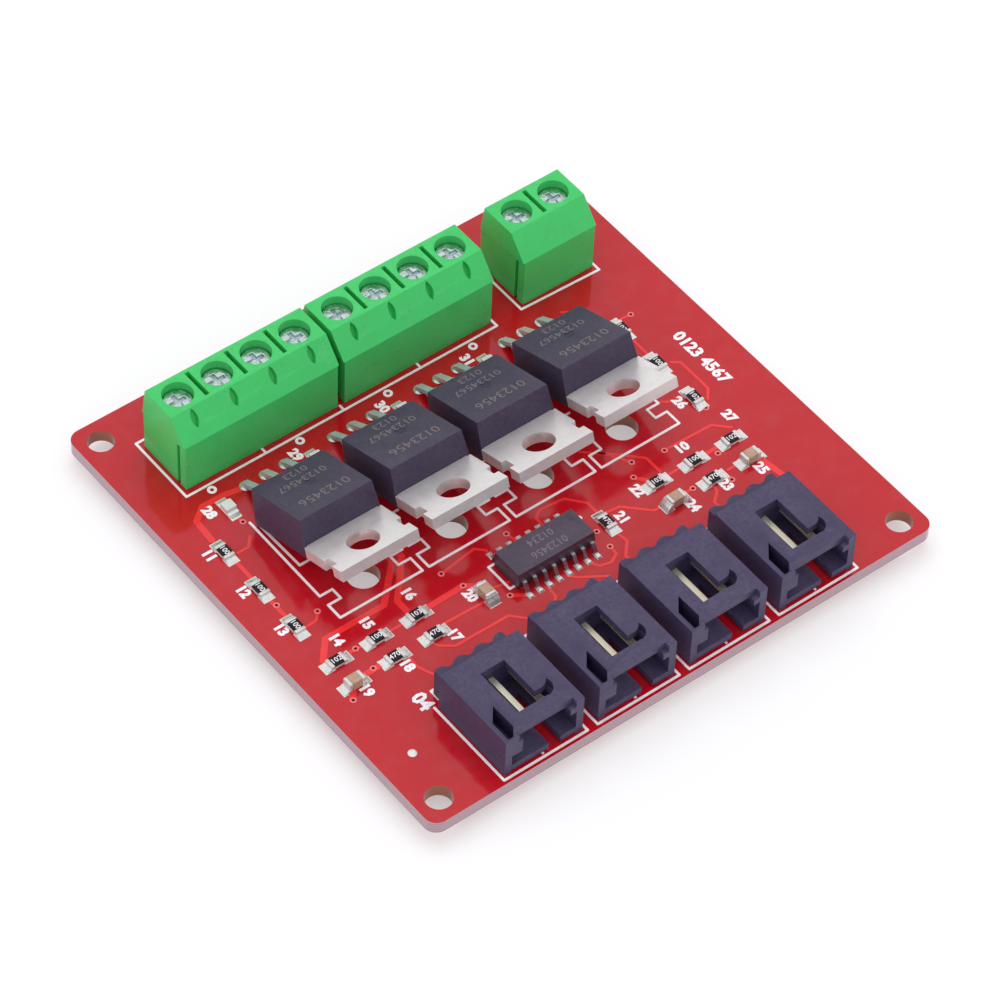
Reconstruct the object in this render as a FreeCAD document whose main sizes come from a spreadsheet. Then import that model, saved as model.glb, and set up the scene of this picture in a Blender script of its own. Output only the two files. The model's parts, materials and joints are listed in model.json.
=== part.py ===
import FreeCAD, Part
import Sketcher
import math
import os

# Four-channel transistor switch board: a red circuit board that carries three screw terminal
# blocks along its rear edge, four power transistors that stand on their legs and lean forward
# over the board, a sixteen-leg optical isolator, small chip parts and four locking headers
# along the front edge.
#
# Millimetres.  +X runs along the front edge, +Y from the headers to the terminal blocks, +Z up.
# The origin is the centre of the board's underside, which is also the centre of its four
# mounting holes.

doc = FreeCAD.newDocument("switch_board")
sheet = doc.addObject("Spreadsheet::Sheet", "Sizes")


class Size:
    """A size that carries its value and the expression that binds it to the sheet."""

    def __init__(self, value, text):
        self.value = value
        self.text = text

    def joined(self, sign, other, result):
        return Size(result, "(%s %s %s)" % (self.text, sign, other.text))

    def __add__(self, other):
        other = as_size(other)
        return self.joined("+", other, self.value + other.value)

    def __sub__(self, other):
        other = as_size(other)
        return self.joined("-", other, self.value - other.value)

    def __mul__(self, other):
        other = as_size(other)
        return self.joined("*", other, self.value * other.value)

    def __truediv__(self, other):
        other = as_size(other)
        return self.joined("/", other, self.value / other.value)

    def __radd__(self, other):
        return as_size(other) + self

    def __rsub__(self, other):
        return as_size(other) - self

    def __rmul__(self, other):
        return as_size(other) * self

    def __neg__(self):
        return Size(-self.value, "(0 - %s)" % self.text)


def as_size(number):
    """A plain number becomes a Size whose expression is that number."""
    return number if isinstance(number, Size) else Size(float(number), "(%r)" % float(number))


def sine(angle):
    """The sine of an angle in degrees."""
    return Size(math.sin(math.radians(angle.value)), "sin(%s * 1 deg)" % angle.text)


def cosine(angle):
    """The cosine of an angle in degrees."""
    return Size(math.cos(math.radians(angle.value)), "cos(%s * 1 deg)" % angle.text)


def bearing(rise, run):
    """The slope in degrees of a line that climbs rise over run."""
    result = math.degrees(math.atan2(rise.value, run.value))
    return Size(result, "(atan2(%s; %s) / 1 deg)" % (rise.text, run.text))


# Driving sizes ---------------------------------------------------------------------------

DRIVING_SIZES = {
    # circuit board
    "board_length": 66.0,
    "board_width": 63.8,
    "board_thickness": 1.6,
    "board_corner_radius": 1.5,
    "mounting_hole_inset": 2.7,
    "mounting_hole_diameter": 3.0,
    "lead_play": 0.15,              # round a lead or pin in its hole in the board
    "tail_length": 1.5,             # what stands out under the board
    # terminal blocks
    "way_pitch": 5.0,
    "left_block_centre": -17.15,
    "right_block_centre": 3.43,
    "supply_block_centre": 22.48,
    "block_setback": 5.95,          # rear face to the rear edge of the board
    "block_depth": 7.6,
    "block_height": 9.3,
    "block_slope_foot": 6.4,
    "block_slope_run": 2.35,
    "block_rear_foot": 5.5,
    "block_rear_run": 0.6,
    "block_end_step": 0.15,
    "screw_setback": 3.0,           # screw axis to the rear face of the block
    "well_diameter": 3.4,
    "well_play": 0.1,
    "head_sink": 1.1,
    "head_height": 1.0,
    "thread_diameter": 2.5,
    "thread_play": 0.05,
    "drive_width": 0.5,
    "drive_depth": 0.45,
    "drive_reach": 2.0,
    "ledge_thickness": 0.5,
    "seat_gap": 0.02,
    "clamp_width": 3.9,
    "clamp_depth": 3.7,
    "clamp_wall": 0.45,
    "clamp_plate": 0.6,
    "clamp_travel": 1.8,
    "clamp_play": 0.1,              # each way between a cage and its chamber
    "clamp_rest_gap": 0.2,          # open cage above its contact
    "clamp_grip_gap": 0.1,          # closed cage below its contact
    "throat_play": 0.15,            # round a screw's shank in the housing
    "wire_hole_width": 3.0,
    "wire_hole_height": 2.7,
    "wire_hole_foot": 1.2,
    "contact_level": 3.6,
    "contact_thickness": 0.4,
    "contact_width": 2.4,
    "terminal_leg_width": 1.0,
    "terminal_leg_depth": 0.8,
    "divider_slot_width": 0.5,
    "divider_slot_length": 3.8,
    "divider_slot_depth": 1.2,
    "probe_slot_width": 0.8,
    "probe_slot_length": 2.1,
    "probe_slot_depth": 0.7,
    "probe_side_radius": 1.68,
    "probe_slot_place": 0.66,       # share of the way up the slope
    "end_groove_width": 0.45,
    "end_groove_depth": 0.5,
    "end_groove_setback": 1.3,
    "end_groove_height": 5.9,
    # transistors
    "channel_pitch": 11.42,
    "channel_centre": -2.0,
    "lead_row": 15.15,
    "lead_pitch": 2.54,
    "lead_width": 0.8,
    "lead_shoulder_width": 1.3,
    "lead_thickness": 0.5,
    "lead_level": 2.5,              # lead above the back of the tab
    "lead_exit": 0.7,               # what runs straight out of the body
    "lead_knee": 0.35,              # where a lead turns down, above the board
    "lead_root": 2.4,               # how far a lead reaches into the moulding
    "lead_lap": 0.08,               # overlap of two runs of a lead at a bend
    "lead_wide_share": 0.45,        # share of the sloping run that keeps the full width
    "body_back": 5.15,              # lead row to the rear bottom edge of the body
    "body_length": 9.3,
    "body_width": 9.9,
    "body_top_width": 9.24,
    "body_height": 4.45,
    "body_draft": 0.2,
    "tab_length": 15.8,
    "tab_width": 9.8,
    "tab_neck_width": 9.0,          # part of the tab inside the moulding
    "tab_neck_gap": 0.02,           # front face of the moulding to the tab's shoulder
    "tab_thickness": 1.3,
    "tab_inset": 0.8,
    "tab_hole_setback": 2.97,
    "tab_hole_diameter": 3.6,
    "tab_notch_setback": 1.6,
    "tab_notch_length": 1.5,
    "tab_notch_depth": 0.6,
    "ejector_mark_diameter": 1.2,
    "ejector_mark_depth": 0.1,
    "ejector_mark_setback": 3.9,
    "ejector_mark_shift": 0.3,
    "access_hole_row": -1.83,       # holes in the board under the tabs
    "access_hole_diameter": 3.6,
    # optical isolator
    "isolator_centre_along": -2.5,
    "isolator_centre_across": -10.87,
    "isolator_length": 10.0,
    "isolator_width": 4.3,
    "isolator_top_width": 3.9,
    "isolator_height": 2.1,
    "isolator_standoff": 0.12,
    "isolator_span": 7.25,
    "isolator_lead_pitch": 1.27,
    "isolator_lead_width": 0.42,
    "isolator_lead_thickness": 0.2,
    "isolator_foot": 0.65,
    "isolator_shoulder": 0.35,
    "isolator_mark_diameter": 0.84,
    "isolator_mark_depth": 0.05,
    "isolator_mark_inset": 0.9,
    # headers
    "header_pitch": 11.93,
    "header_centre": -0.58,
    "header_overhang": 0.9,         # board's front edge to the mouth of the header
    "header_width": 9.95,
    "header_height": 5.2,
    "header_length": 10.8,
    "header_heel_length": 1.3,
    "header_heel_height": 3.7,
    "header_heel_inset": 0.68,
    "header_lobe_radius": 1.2,
    "header_lobe_setback": 0.6,
    "header_wall": 0.9,
    "header_floor": 1.1,
    "header_foot": 0.25,
    "header_socket_depth": 8.8,
    "header_brow": 0.66,
    "header_window_width": 3.0,
    "header_window_left": 3.4,
    "header_window_near": 2.45,
    "header_window_far": 8.55,
    "header_hook_radius": 1.25,
    "header_hook_along": 0.85,      # hub of the hook from the right edge of the window
    "header_hook_across": 1.18,     # and from its near edge
    "header_hook_inner_radius": 1.2,
    "header_hook_inner_shift": 1.15,
    "header_neck_length": 0.88,
    "header_neck_width": 1.13,
    "header_web": 2.2,              # solid part of the shroud left of the roof of the socket
    "header_shelf": 2.5,
    "header_rib": 0.8,
    "header_pocket_floor": 2.9,
    "header_brow_lap": 0.5,
    "header_keyway_left": 5.6,
    "header_keyway_width": 1.5,
    "header_keyway_length": 7.0,
    "pin_pitch": 2.54,
    "pin_width": 0.64,
    "pin_level": 2.8,
    "pin_tip_setback": 2.3,
    "pin_row": 11.6,               # mouth of the header to the row of pins in the board
    # chip parts
    "chip_length": 2.0,
    "chip_width": 1.25,
    "resistor_height": 0.5,
    "capacitor_height": 1.15,
    "chip_cap": 0.4,
    "chip_solder_gap": 0.05,
    "chip_row_pitch": 5.1,
    "chip_column_pitch": 6.15,
    "chip_left_column": -28.85,
    "chip_right_column": 23.9,
    "indicator_column": -25.03,
    "indicator_row": 13.6,
    "indicator_pitch": 11.45,
    "indicator_base": 0.3,
    "indicator_lens_length": 1.2,
    "indicator_lens_height": 0.5,
    # solder
    "joint_height": 0.9,
    "joint_radius": 1.0,
    "joint_tip_radius": 0.62,
    # clearance of cutting tools past the faces they open
    "overshoot": 1.0,
    "sliver": 0.01,
}

for row, (alias, number) in enumerate(DRIVING_SIZES.items(), start=1):
    sheet.set("A%d" % row, alias.replace("_", " "))
    sheet.set("B%d" % row, repr(number))
    sheet.setAlias("B%d" % row, alias)
doc.recompute()

D = {alias: Size(number, "Sizes." + alias) for alias, number in DRIVING_SIZES.items()}

TOP = D["board_thickness"]
ZERO = as_size(0.0)
UPRIGHT = 0.99  # least share of an upright edge's direction that lies along Z

# Builders --------------------------------------------------------------------------------

parts = []


def bind(thing, prop, size):
    """Bind one property of an object to a size of the sheet."""
    thing.setExpression(prop, as_size(size).text)


def place(thing, at, turn=None):
    """Put an object at a point, turned by an angle about an axis if one is given."""
    if turn is not None:
        axis, angle = turn
        rotation = FreeCAD.Rotation(FreeCAD.Vector(*axis), as_size(angle).value)
        thing.Placement = FreeCAD.Placement(FreeCAD.Vector(0, 0, 0), rotation)
        bind(thing, "Placement.Rotation.Angle", angle)
    for letter, size in zip("xyz", at):
        bind(thing, "Placement.Base." + letter, size)
    return thing


def box(name, length, width, height, at, turn=None):
    """A block whose lowest corner is at a point."""
    thing = doc.addObject("Part::Box", name)
    bind(thing, "Length", length)
    bind(thing, "Width", width)
    bind(thing, "Height", height)
    return place(thing, at, turn)


def centred_box(name, length, width, height, at, turn=None):
    """A block centred on X and Y over a point, standing on it."""
    x, y, z = at
    corner = (as_size(x) - as_size(length) / 2, as_size(y) - as_size(width) / 2, z)
    return box(name, length, width, height, corner, turn)


def rod(name, diameter, height, at):
    """An upright cylinder standing on a point."""
    thing = doc.addObject("Part::Cylinder", name)
    bind(thing, "Radius", as_size(diameter) / 2)
    bind(thing, "Height", height)
    return place(thing, at)


def cone(name, lower_radius, upper_radius, height, at):
    """An upright cone standing on a point."""
    thing = doc.addObject("Part::Cone", name)
    bind(thing, "Radius1", lower_radius)
    bind(thing, "Radius2", upper_radius)
    bind(thing, "Height", height)
    return place(thing, at)


def fused(name, things):
    """The union of several objects."""
    thing = doc.addObject("Part::MultiFuse", name)
    thing.Shapes = things
    return thing


def grouped(name, things):
    """Several separate solids held as one object."""
    thing = doc.addObject("Part::Compound", name)
    thing.Links = things
    return thing


def cut(name, base, tools):
    """An object less one or more others."""
    thing = doc.addObject("Part::Cut", name)
    thing.Base = base
    thing.Tool = tools[0] if len(tools) == 1 else grouped(name + "_cutters", tools)
    return thing


def common(name, first, second):
    """What two objects share."""
    thing = doc.addObject("Part::Common", name)
    thing.Base = first
    thing.Tool = second
    return thing


def origin_plane(body, role):
    """One of the origin planes of a body."""
    for feature in body.Origin.OriginFeatures:
        if feature.Role == role:
            return feature
    raise RuntimeError("no plane " + role)


def pin_vertex(sketch, geometry, vertex, axis, size):
    """Hold one coordinate of a sketch vertex at a size measured from the sketch origin."""
    size = as_size(size)
    if size.text == ZERO.text:
        reference = -2 if axis == "X" else -1
        sketch.addConstraint(Sketcher.Constraint("PointOnObject", geometry, vertex, reference))
        return
    kind = "Distance" + axis
    index = sketch.addConstraint(Sketcher.Constraint(kind, -1, 1, geometry, vertex, size.value))
    sketch.setExpression("Constraints[%d]" % index, size.text)


def draw_outline(sketch, points):
    """A closed outline of straight runs, each vertex bound to its sizes."""
    points = [(as_size(u), as_size(v)) for u, v in points]
    vectors = [FreeCAD.Vector(u.value, v.value, 0) for u, v in points]
    count = len(points)
    for index in range(count):
        segment = Part.LineSegment(vectors[index], vectors[(index + 1) % count])
        sketch.addGeometry(segment, False)
    for index in range(count):
        sketch.addConstraint(Sketcher.Constraint("Coincident", index, 2, (index + 1) % count, 1))
    for index, (u, v) in enumerate(points):
        pin_vertex(sketch, index, 1, "X", u)
        pin_vertex(sketch, index, 1, "Y", v)


def draw_circles(sketch, centres, diameter):
    """Equal circles, each centre and the diameter bound to sizes."""
    diameter = as_size(diameter)
    for index, (u, v) in enumerate(centres):
        u = as_size(u)
        v = as_size(v)
        centre = FreeCAD.Vector(u.value, v.value, 0)
        circle = Part.Circle(centre, FreeCAD.Vector(0, 0, 1), diameter.value / 2)
        sketch.addGeometry(circle, False)
        pin_vertex(sketch, index, 3, "X", u)
        pin_vertex(sketch, index, 3, "Y", v)
        held = sketch.addConstraint(Sketcher.Constraint("Diameter", index, diameter.value))
        sketch.setExpression("Constraints[%d]" % held, diameter.text)


def body_sketch(body, name, role):
    """An empty sketch on one of the origin planes of a body."""
    sketch = body.newObject("Sketcher::SketchObject", name)
    sketch.AttachmentSupport = [(origin_plane(body, role), "")]
    sketch.MapMode = "FlatFace"
    return sketch


def pad(body, name, sketch, length, both_ways=False):
    """Raise a sketch into a solid."""
    feature = body.newObject("PartDesign::Pad", name)
    feature.Profile = sketch
    bind(feature, "Length", length)
    feature.SideType = "Symmetric" if both_ways else "One side"
    body.Tip = feature
    return feature


def profile_bar(name, points, length):
    """A bar along X, centred on X = 0, from an outline given in Y and Z."""
    body = doc.addObject("PartDesign::Body", name)
    sketch = body_sketch(body, name + "_outline", "YZ_Plane")
    draw_outline(sketch, points)
    pad(body, name + "_length", sketch, length, both_ways=True)
    return body


def plate(name, points, height, at):
    """A flat piece with a straight-sided outline in X and Y, raised from a point."""
    body = doc.addObject("PartDesign::Body", name)
    sketch = body_sketch(body, name + "_outline", "XY_Plane")
    draw_outline(sketch, points)
    pad(body, name + "_height", sketch, height)
    return place(body, at)


def finish(label, thing):
    """Name a finished sub-part; its label is the name of its file."""
    thing.Label = label
    parts.append(thing)
    return thing


# Layout ----------------------------------------------------------------------------------

half_length = D["board_length"] / 2
half_width = D["board_width"] / 2

BLOCKS = (
    ("left", 4, D["left_block_centre"], True),
    ("right", 4, D["right_block_centre"], True),
    ("supply", 2, D["supply_block_centre"], False),
)

# lean in degrees, rest height of the rear bottom edge, and its shift from the common row
TRANSISTORS = (
    (18.9, 0.24, 0.0),
    (19.4, 0.60, -0.3),
    (18.1, 0.16, 0.0),
    (20.4, 0.43, 0.0),
)

# outline of the blind pocket beside the latch window, from the header's left front corner
LATCH_POCKET = (
    (0.52, 0.3),
    (1.16, 0.3),
    (1.95, 1.35),
    (1.9, 4.55),
    (0.52, 2.85),
)

block_rear = half_width - D["block_setback"]
block_front = block_rear - D["block_depth"]
screw_row = block_rear - D["screw_setback"]
chamber_width = D["clamp_width"] + D["clamp_play"] * 2
chamber_depth = D["clamp_depth"] + D["clamp_play"] * 2
chamber_front = screw_row - chamber_depth / 2
terminal_leg_row = chamber_front - D["terminal_leg_depth"] / 2
head_top = D["block_height"] - D["head_sink"]
head_bottom = head_top - D["head_height"]
ledge_top = head_bottom - D["seat_gap"]
chamber_top = ledge_top - D["ledge_thickness"]
contact_top = D["contact_level"] + D["contact_thickness"]


def way_places(ways, centre):
    """Where the screws of one terminal block stand, along X."""
    return [centre + D["way_pitch"] * (index - (ways - 1) / 2) for index in range(ways)]


def channel_place(index):
    """Where one transistor stands, along X."""
    return D["channel_centre"] + D["channel_pitch"] * (index - 1.5)


def header_place(index):
    """Where the middle of one header stands, along X."""
    return D["header_centre"] + D["header_pitch"] * (index - 1.5)


screw_places = [x for _, ways, centre, _ in BLOCKS for x in way_places(ways, centre)]
transistor_lead_places = [
    (channel_place(index) + D["lead_pitch"] * step, D["lead_row"])
    for index in range(4)
    for step in (-1, 0, 1)
]
header_mouth = -half_width + D["header_overhang"]
header_pin_row = header_mouth + D["pin_row"]
header_pin_places = [
    (header_place(index) + D["pin_pitch"] * step, header_pin_row)
    for index in range(4)
    for step in (-1, 0, 1)
]


# Circuit board ---------------------------------------------------------------------------


def drill(body, name, centres, diameter):
    """Holes through the board."""
    sketch = body_sketch(body, name + "_centres", "XY_Plane")
    draw_circles(sketch, centres, diameter)
    feature = body.newObject("PartDesign::Pocket", name)
    feature.Profile = sketch
    feature.Type = "ThroughAll"
    feature.Reversed = True
    body.Tip = feature


def build_board():
    """The board: a rounded rectangle with its mounting, access and lead holes."""
    body = doc.addObject("PartDesign::Body", "circuit_board")
    sketch = body_sketch(body, "board_outline", "XY_Plane")
    draw_outline(sketch, (
        (-half_length, -half_width),
        (half_length, -half_width),
        (half_length, half_width),
        (-half_length, half_width),
    ))
    board_sheet = pad(body, "board_sheet", sketch, D["board_thickness"])
    doc.recompute()
    upright = []
    for index, edge in enumerate(board_sheet.Shape.Edges, start=1):
        if abs(edge.tangentAt(edge.FirstParameter).z) > UPRIGHT:
            upright.append("Edge%d" % index)
    corners = body.newObject("PartDesign::Fillet", "board_corners")
    corners.Base = (board_sheet, upright)
    bind(corners, "Radius", D["board_corner_radius"])
    body.Tip = corners
    hole_x = half_length - D["mounting_hole_inset"]
    hole_y = half_width - D["mounting_hole_inset"]
    mounting = [(hole_x * sx, hole_y * sy) for sx in (-1, 1) for sy in (-1, 1)]
    drill(body, "mounting_holes", mounting, D["mounting_hole_diameter"])
    access = [(channel_place(index), D["access_hole_row"]) for index in range(4)]
    drill(body, "access_holes", access, D["access_hole_diameter"])
    legs = [(x, terminal_leg_row) for x in screw_places]
    leg_diagonal = math.hypot(D["terminal_leg_width"].value, D["terminal_leg_depth"].value)
    leg_room = D["terminal_leg_width"] * (leg_diagonal / D["terminal_leg_width"].value)
    drill(body, "terminal_holes", legs, leg_room + D["lead_play"])
    lead_diagonal = math.hypot(D["lead_width"].value, D["lead_thickness"].value)
    lead_room = D["lead_width"] * (lead_diagonal / D["lead_width"].value)
    drill(body, "transistor_holes", transistor_lead_places, lead_room + D["lead_play"])
    drill(body, "header_holes", header_pin_places, D["pin_width"] * math.sqrt(2) + D["lead_play"])
    return finish("circuit_board", body)


# Terminal blocks -------------------------------------------------------------------------


def way_cutters(name, x, probed):
    """Everything that one way of a terminal block takes out of its housing."""
    well = rod(name + "_well", D["well_diameter"], D["block_height"], (x, screw_row, TOP + ledge_top))
    throat_diameter = D["thread_diameter"] + D["throat_play"] * 2
    throat = rod(name + "_throat", throat_diameter, D["block_height"], (x, screw_row, TOP + chamber_top))
    chamber = centred_box(name + "_chamber", chamber_width, chamber_depth, chamber_top, (x, screw_row, TOP))
    entry = centred_box(
        name + "_entry", D["wire_hole_width"], D["block_depth"], D["wire_hole_height"],
        (x, screw_row + D["block_depth"] / 2, TOP + D["wire_hole_foot"]),
    )
    leg_slot = centred_box(
        name + "_leg_slot", D["terminal_leg_width"], D["terminal_leg_depth"], contact_top,
        (x, terminal_leg_row, TOP),
    )
    cutters = [well, throat, chamber, entry, leg_slot]
    if probed:
        cutters.append(probe_slot(name + "_probe", x))
    return cutters


def probe_slot(name, x):
    """A shallow lens-shaped slot in the slope, in front of a screw."""
    climb = D["block_height"] - D["block_slope_foot"]
    slot_y = block_front + D["block_slope_run"] * D["probe_slot_place"]
    slot_z = TOP + D["block_slope_foot"] + climb * D["probe_slot_place"]
    offset = D["probe_side_radius"] - D["probe_slot_width"] / 2
    depth = D["probe_slot_depth"] * 2
    discs = []
    for side in (-1, 1):
        disc = rod(
            "%s_side_%d" % (name, side + 1), D["probe_side_radius"] * 2, depth,
            (offset * side, ZERO, -depth / 2),
        )
        discs.append(disc)
    lens = common(name, discs[0], discs[1])
    return place(lens, (x, slot_y, slot_z), ((1, 0, 0), bearing(climb, D["block_slope_run"])))


def build_housing(name, ways, centre, probed):
    """The moulded housing of one terminal block."""
    length = D["way_pitch"] * ways
    outline = (
        (block_front, TOP),
        (block_rear, TOP),
        (block_rear, TOP + D["block_rear_foot"]),
        (block_rear - D["block_rear_run"], TOP + D["block_height"]),
        (block_front + D["block_slope_run"], TOP + D["block_height"]),
        (block_front, TOP + D["block_slope_foot"]),
    )
    bar = profile_bar(name + "_bar", outline, length)
    place(bar, (centre, ZERO, ZERO))
    cutters = []
    places = way_places(ways, centre)
    for index, x in enumerate(places):
        cutters += way_cutters("%s_way_%d" % (name, index + 1), x, probed)
    top_middle = (block_front + D["block_slope_run"] + block_rear - D["block_rear_run"]) / 2
    divider_floor = TOP + D["block_height"] - D["divider_slot_depth"]
    for index in range(ways - 1):
        middle = places[index] + D["way_pitch"] / 2
        cutters.append(centred_box(
            "%s_divider_%d" % (name, index + 1), D["divider_slot_width"], D["divider_slot_length"],
            D["divider_slot_depth"] * 2, (middle, top_middle, divider_floor),
        ))
    foot = (
        (block_front - D["block_depth"], TOP - D["overshoot"]),
        (block_rear + D["block_depth"], TOP - D["overshoot"]),
        (block_rear + D["block_depth"], TOP + D["block_rear_foot"] * 2 - D["block_slope_foot"]),
        (block_rear, TOP + D["block_rear_foot"]),
        (block_front, TOP + D["block_slope_foot"]),
        (block_front - D["block_depth"], TOP + D["block_slope_foot"] * 2 - D["block_rear_foot"]),
    )
    for side in (-1, 1):
        step = profile_bar("%s_end_%d" % (name, side + 1), foot, D["block_end_step"] * 2)
        cutters.append(place(step, (centre + length / 2 * side, ZERO, ZERO)))
    groove_y = block_front + D["end_groove_setback"]
    cutters.append(centred_box(
        name + "_groove", (D["end_groove_depth"] + D["block_end_step"]) * 2, D["end_groove_width"],
        D["end_groove_height"], (centre - length / 2, groove_y, TOP),
    ))
    return finish("terminal_block_" + name, cut(name + "_housing", bar, cutters))


def build_contacts(name, ways, centre):
    """The tinned contacts of one terminal block: a plate in each way and its leg in the board."""
    contacts = []
    for index, x in enumerate(way_places(ways, centre)):
        tag = "%s_contact_%d" % (name, index + 1)
        tongue = centred_box(
            tag + "_tongue", D["contact_width"], D["clamp_depth"], D["contact_thickness"],
            (x, chamber_front + D["clamp_depth"] / 2, TOP + D["contact_level"]),
        )
        leg_height = D["tail_length"] + TOP + contact_top
        leg = centred_box(
            tag + "_leg", D["terminal_leg_width"], D["terminal_leg_depth"], leg_height,
            (x, terminal_leg_row, -D["tail_length"]),
        )
        contacts.append(fused(tag, [tongue, leg]))
    return finish("contact_pins_" + name, grouped(name + "_contacts", contacts))


def build_screw(number, x):
    """One clamp screw: a cheese head with a cross recess over a threaded shank."""
    tag = "screw_%d" % number
    head_diameter = D["well_diameter"] - D["well_play"] * 2
    head = rod(tag + "_head", head_diameter, D["head_height"], (x, screw_row, TOP + head_bottom))
    shank_height = head_bottom - contact_top - D["thread_play"]
    shank = rod(
        tag + "_shank", D["thread_diameter"], shank_height,
        (x, screw_row, TOP + contact_top + D["thread_play"]),
    )
    recess_floor = TOP + head_top - D["drive_depth"]
    recess_height = D["drive_depth"] * 2
    spot = (x, screw_row, recess_floor)
    blade = centred_box(tag + "_blade", D["drive_reach"], D["drive_width"], recess_height, spot)
    cross = centred_box(tag + "_cross", D["drive_width"], D["drive_reach"], recess_height, spot)
    solid = fused(tag + "_blank", [head, shank])
    recess = fused(tag + "_recess", [blade, cross])
    return finish("clamp_screw_%d" % number, cut(tag, solid, [recess]))


def build_clamp(number, x):
    """One wire clamp: a threaded steel cage that the screw draws up from its open position."""
    tag = "clamp_%d" % number
    plate_top = contact_top + D["clamp_rest_gap"] + D["clamp_plate"]
    floor_top = D["contact_level"] - D["clamp_travel"] - D["clamp_grip_gap"]
    floor_bottom = floor_top - D["clamp_plate"]
    cage = centred_box(
        tag + "_cage", D["clamp_width"], D["clamp_depth"], plate_top - floor_bottom,
        (x, screw_row, TOP + floor_bottom),
    )
    inside = plate_top - D["clamp_plate"] - floor_top
    window = centred_box(
        tag + "_window", D["clamp_width"] - D["clamp_wall"] * 2, D["clamp_depth"] * 2, inside,
        (x, screw_row, TOP + floor_top),
    )
    thread = rod(
        tag + "_thread", D["thread_diameter"] + D["thread_play"] * 2, D["block_height"],
        (x, screw_row, TOP + D["contact_level"]),
    )
    return finish("wire_clamp_%d" % number, cut(tag, cage, [window, thread]))


# Transistors -----------------------------------------------------------------------------


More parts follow.
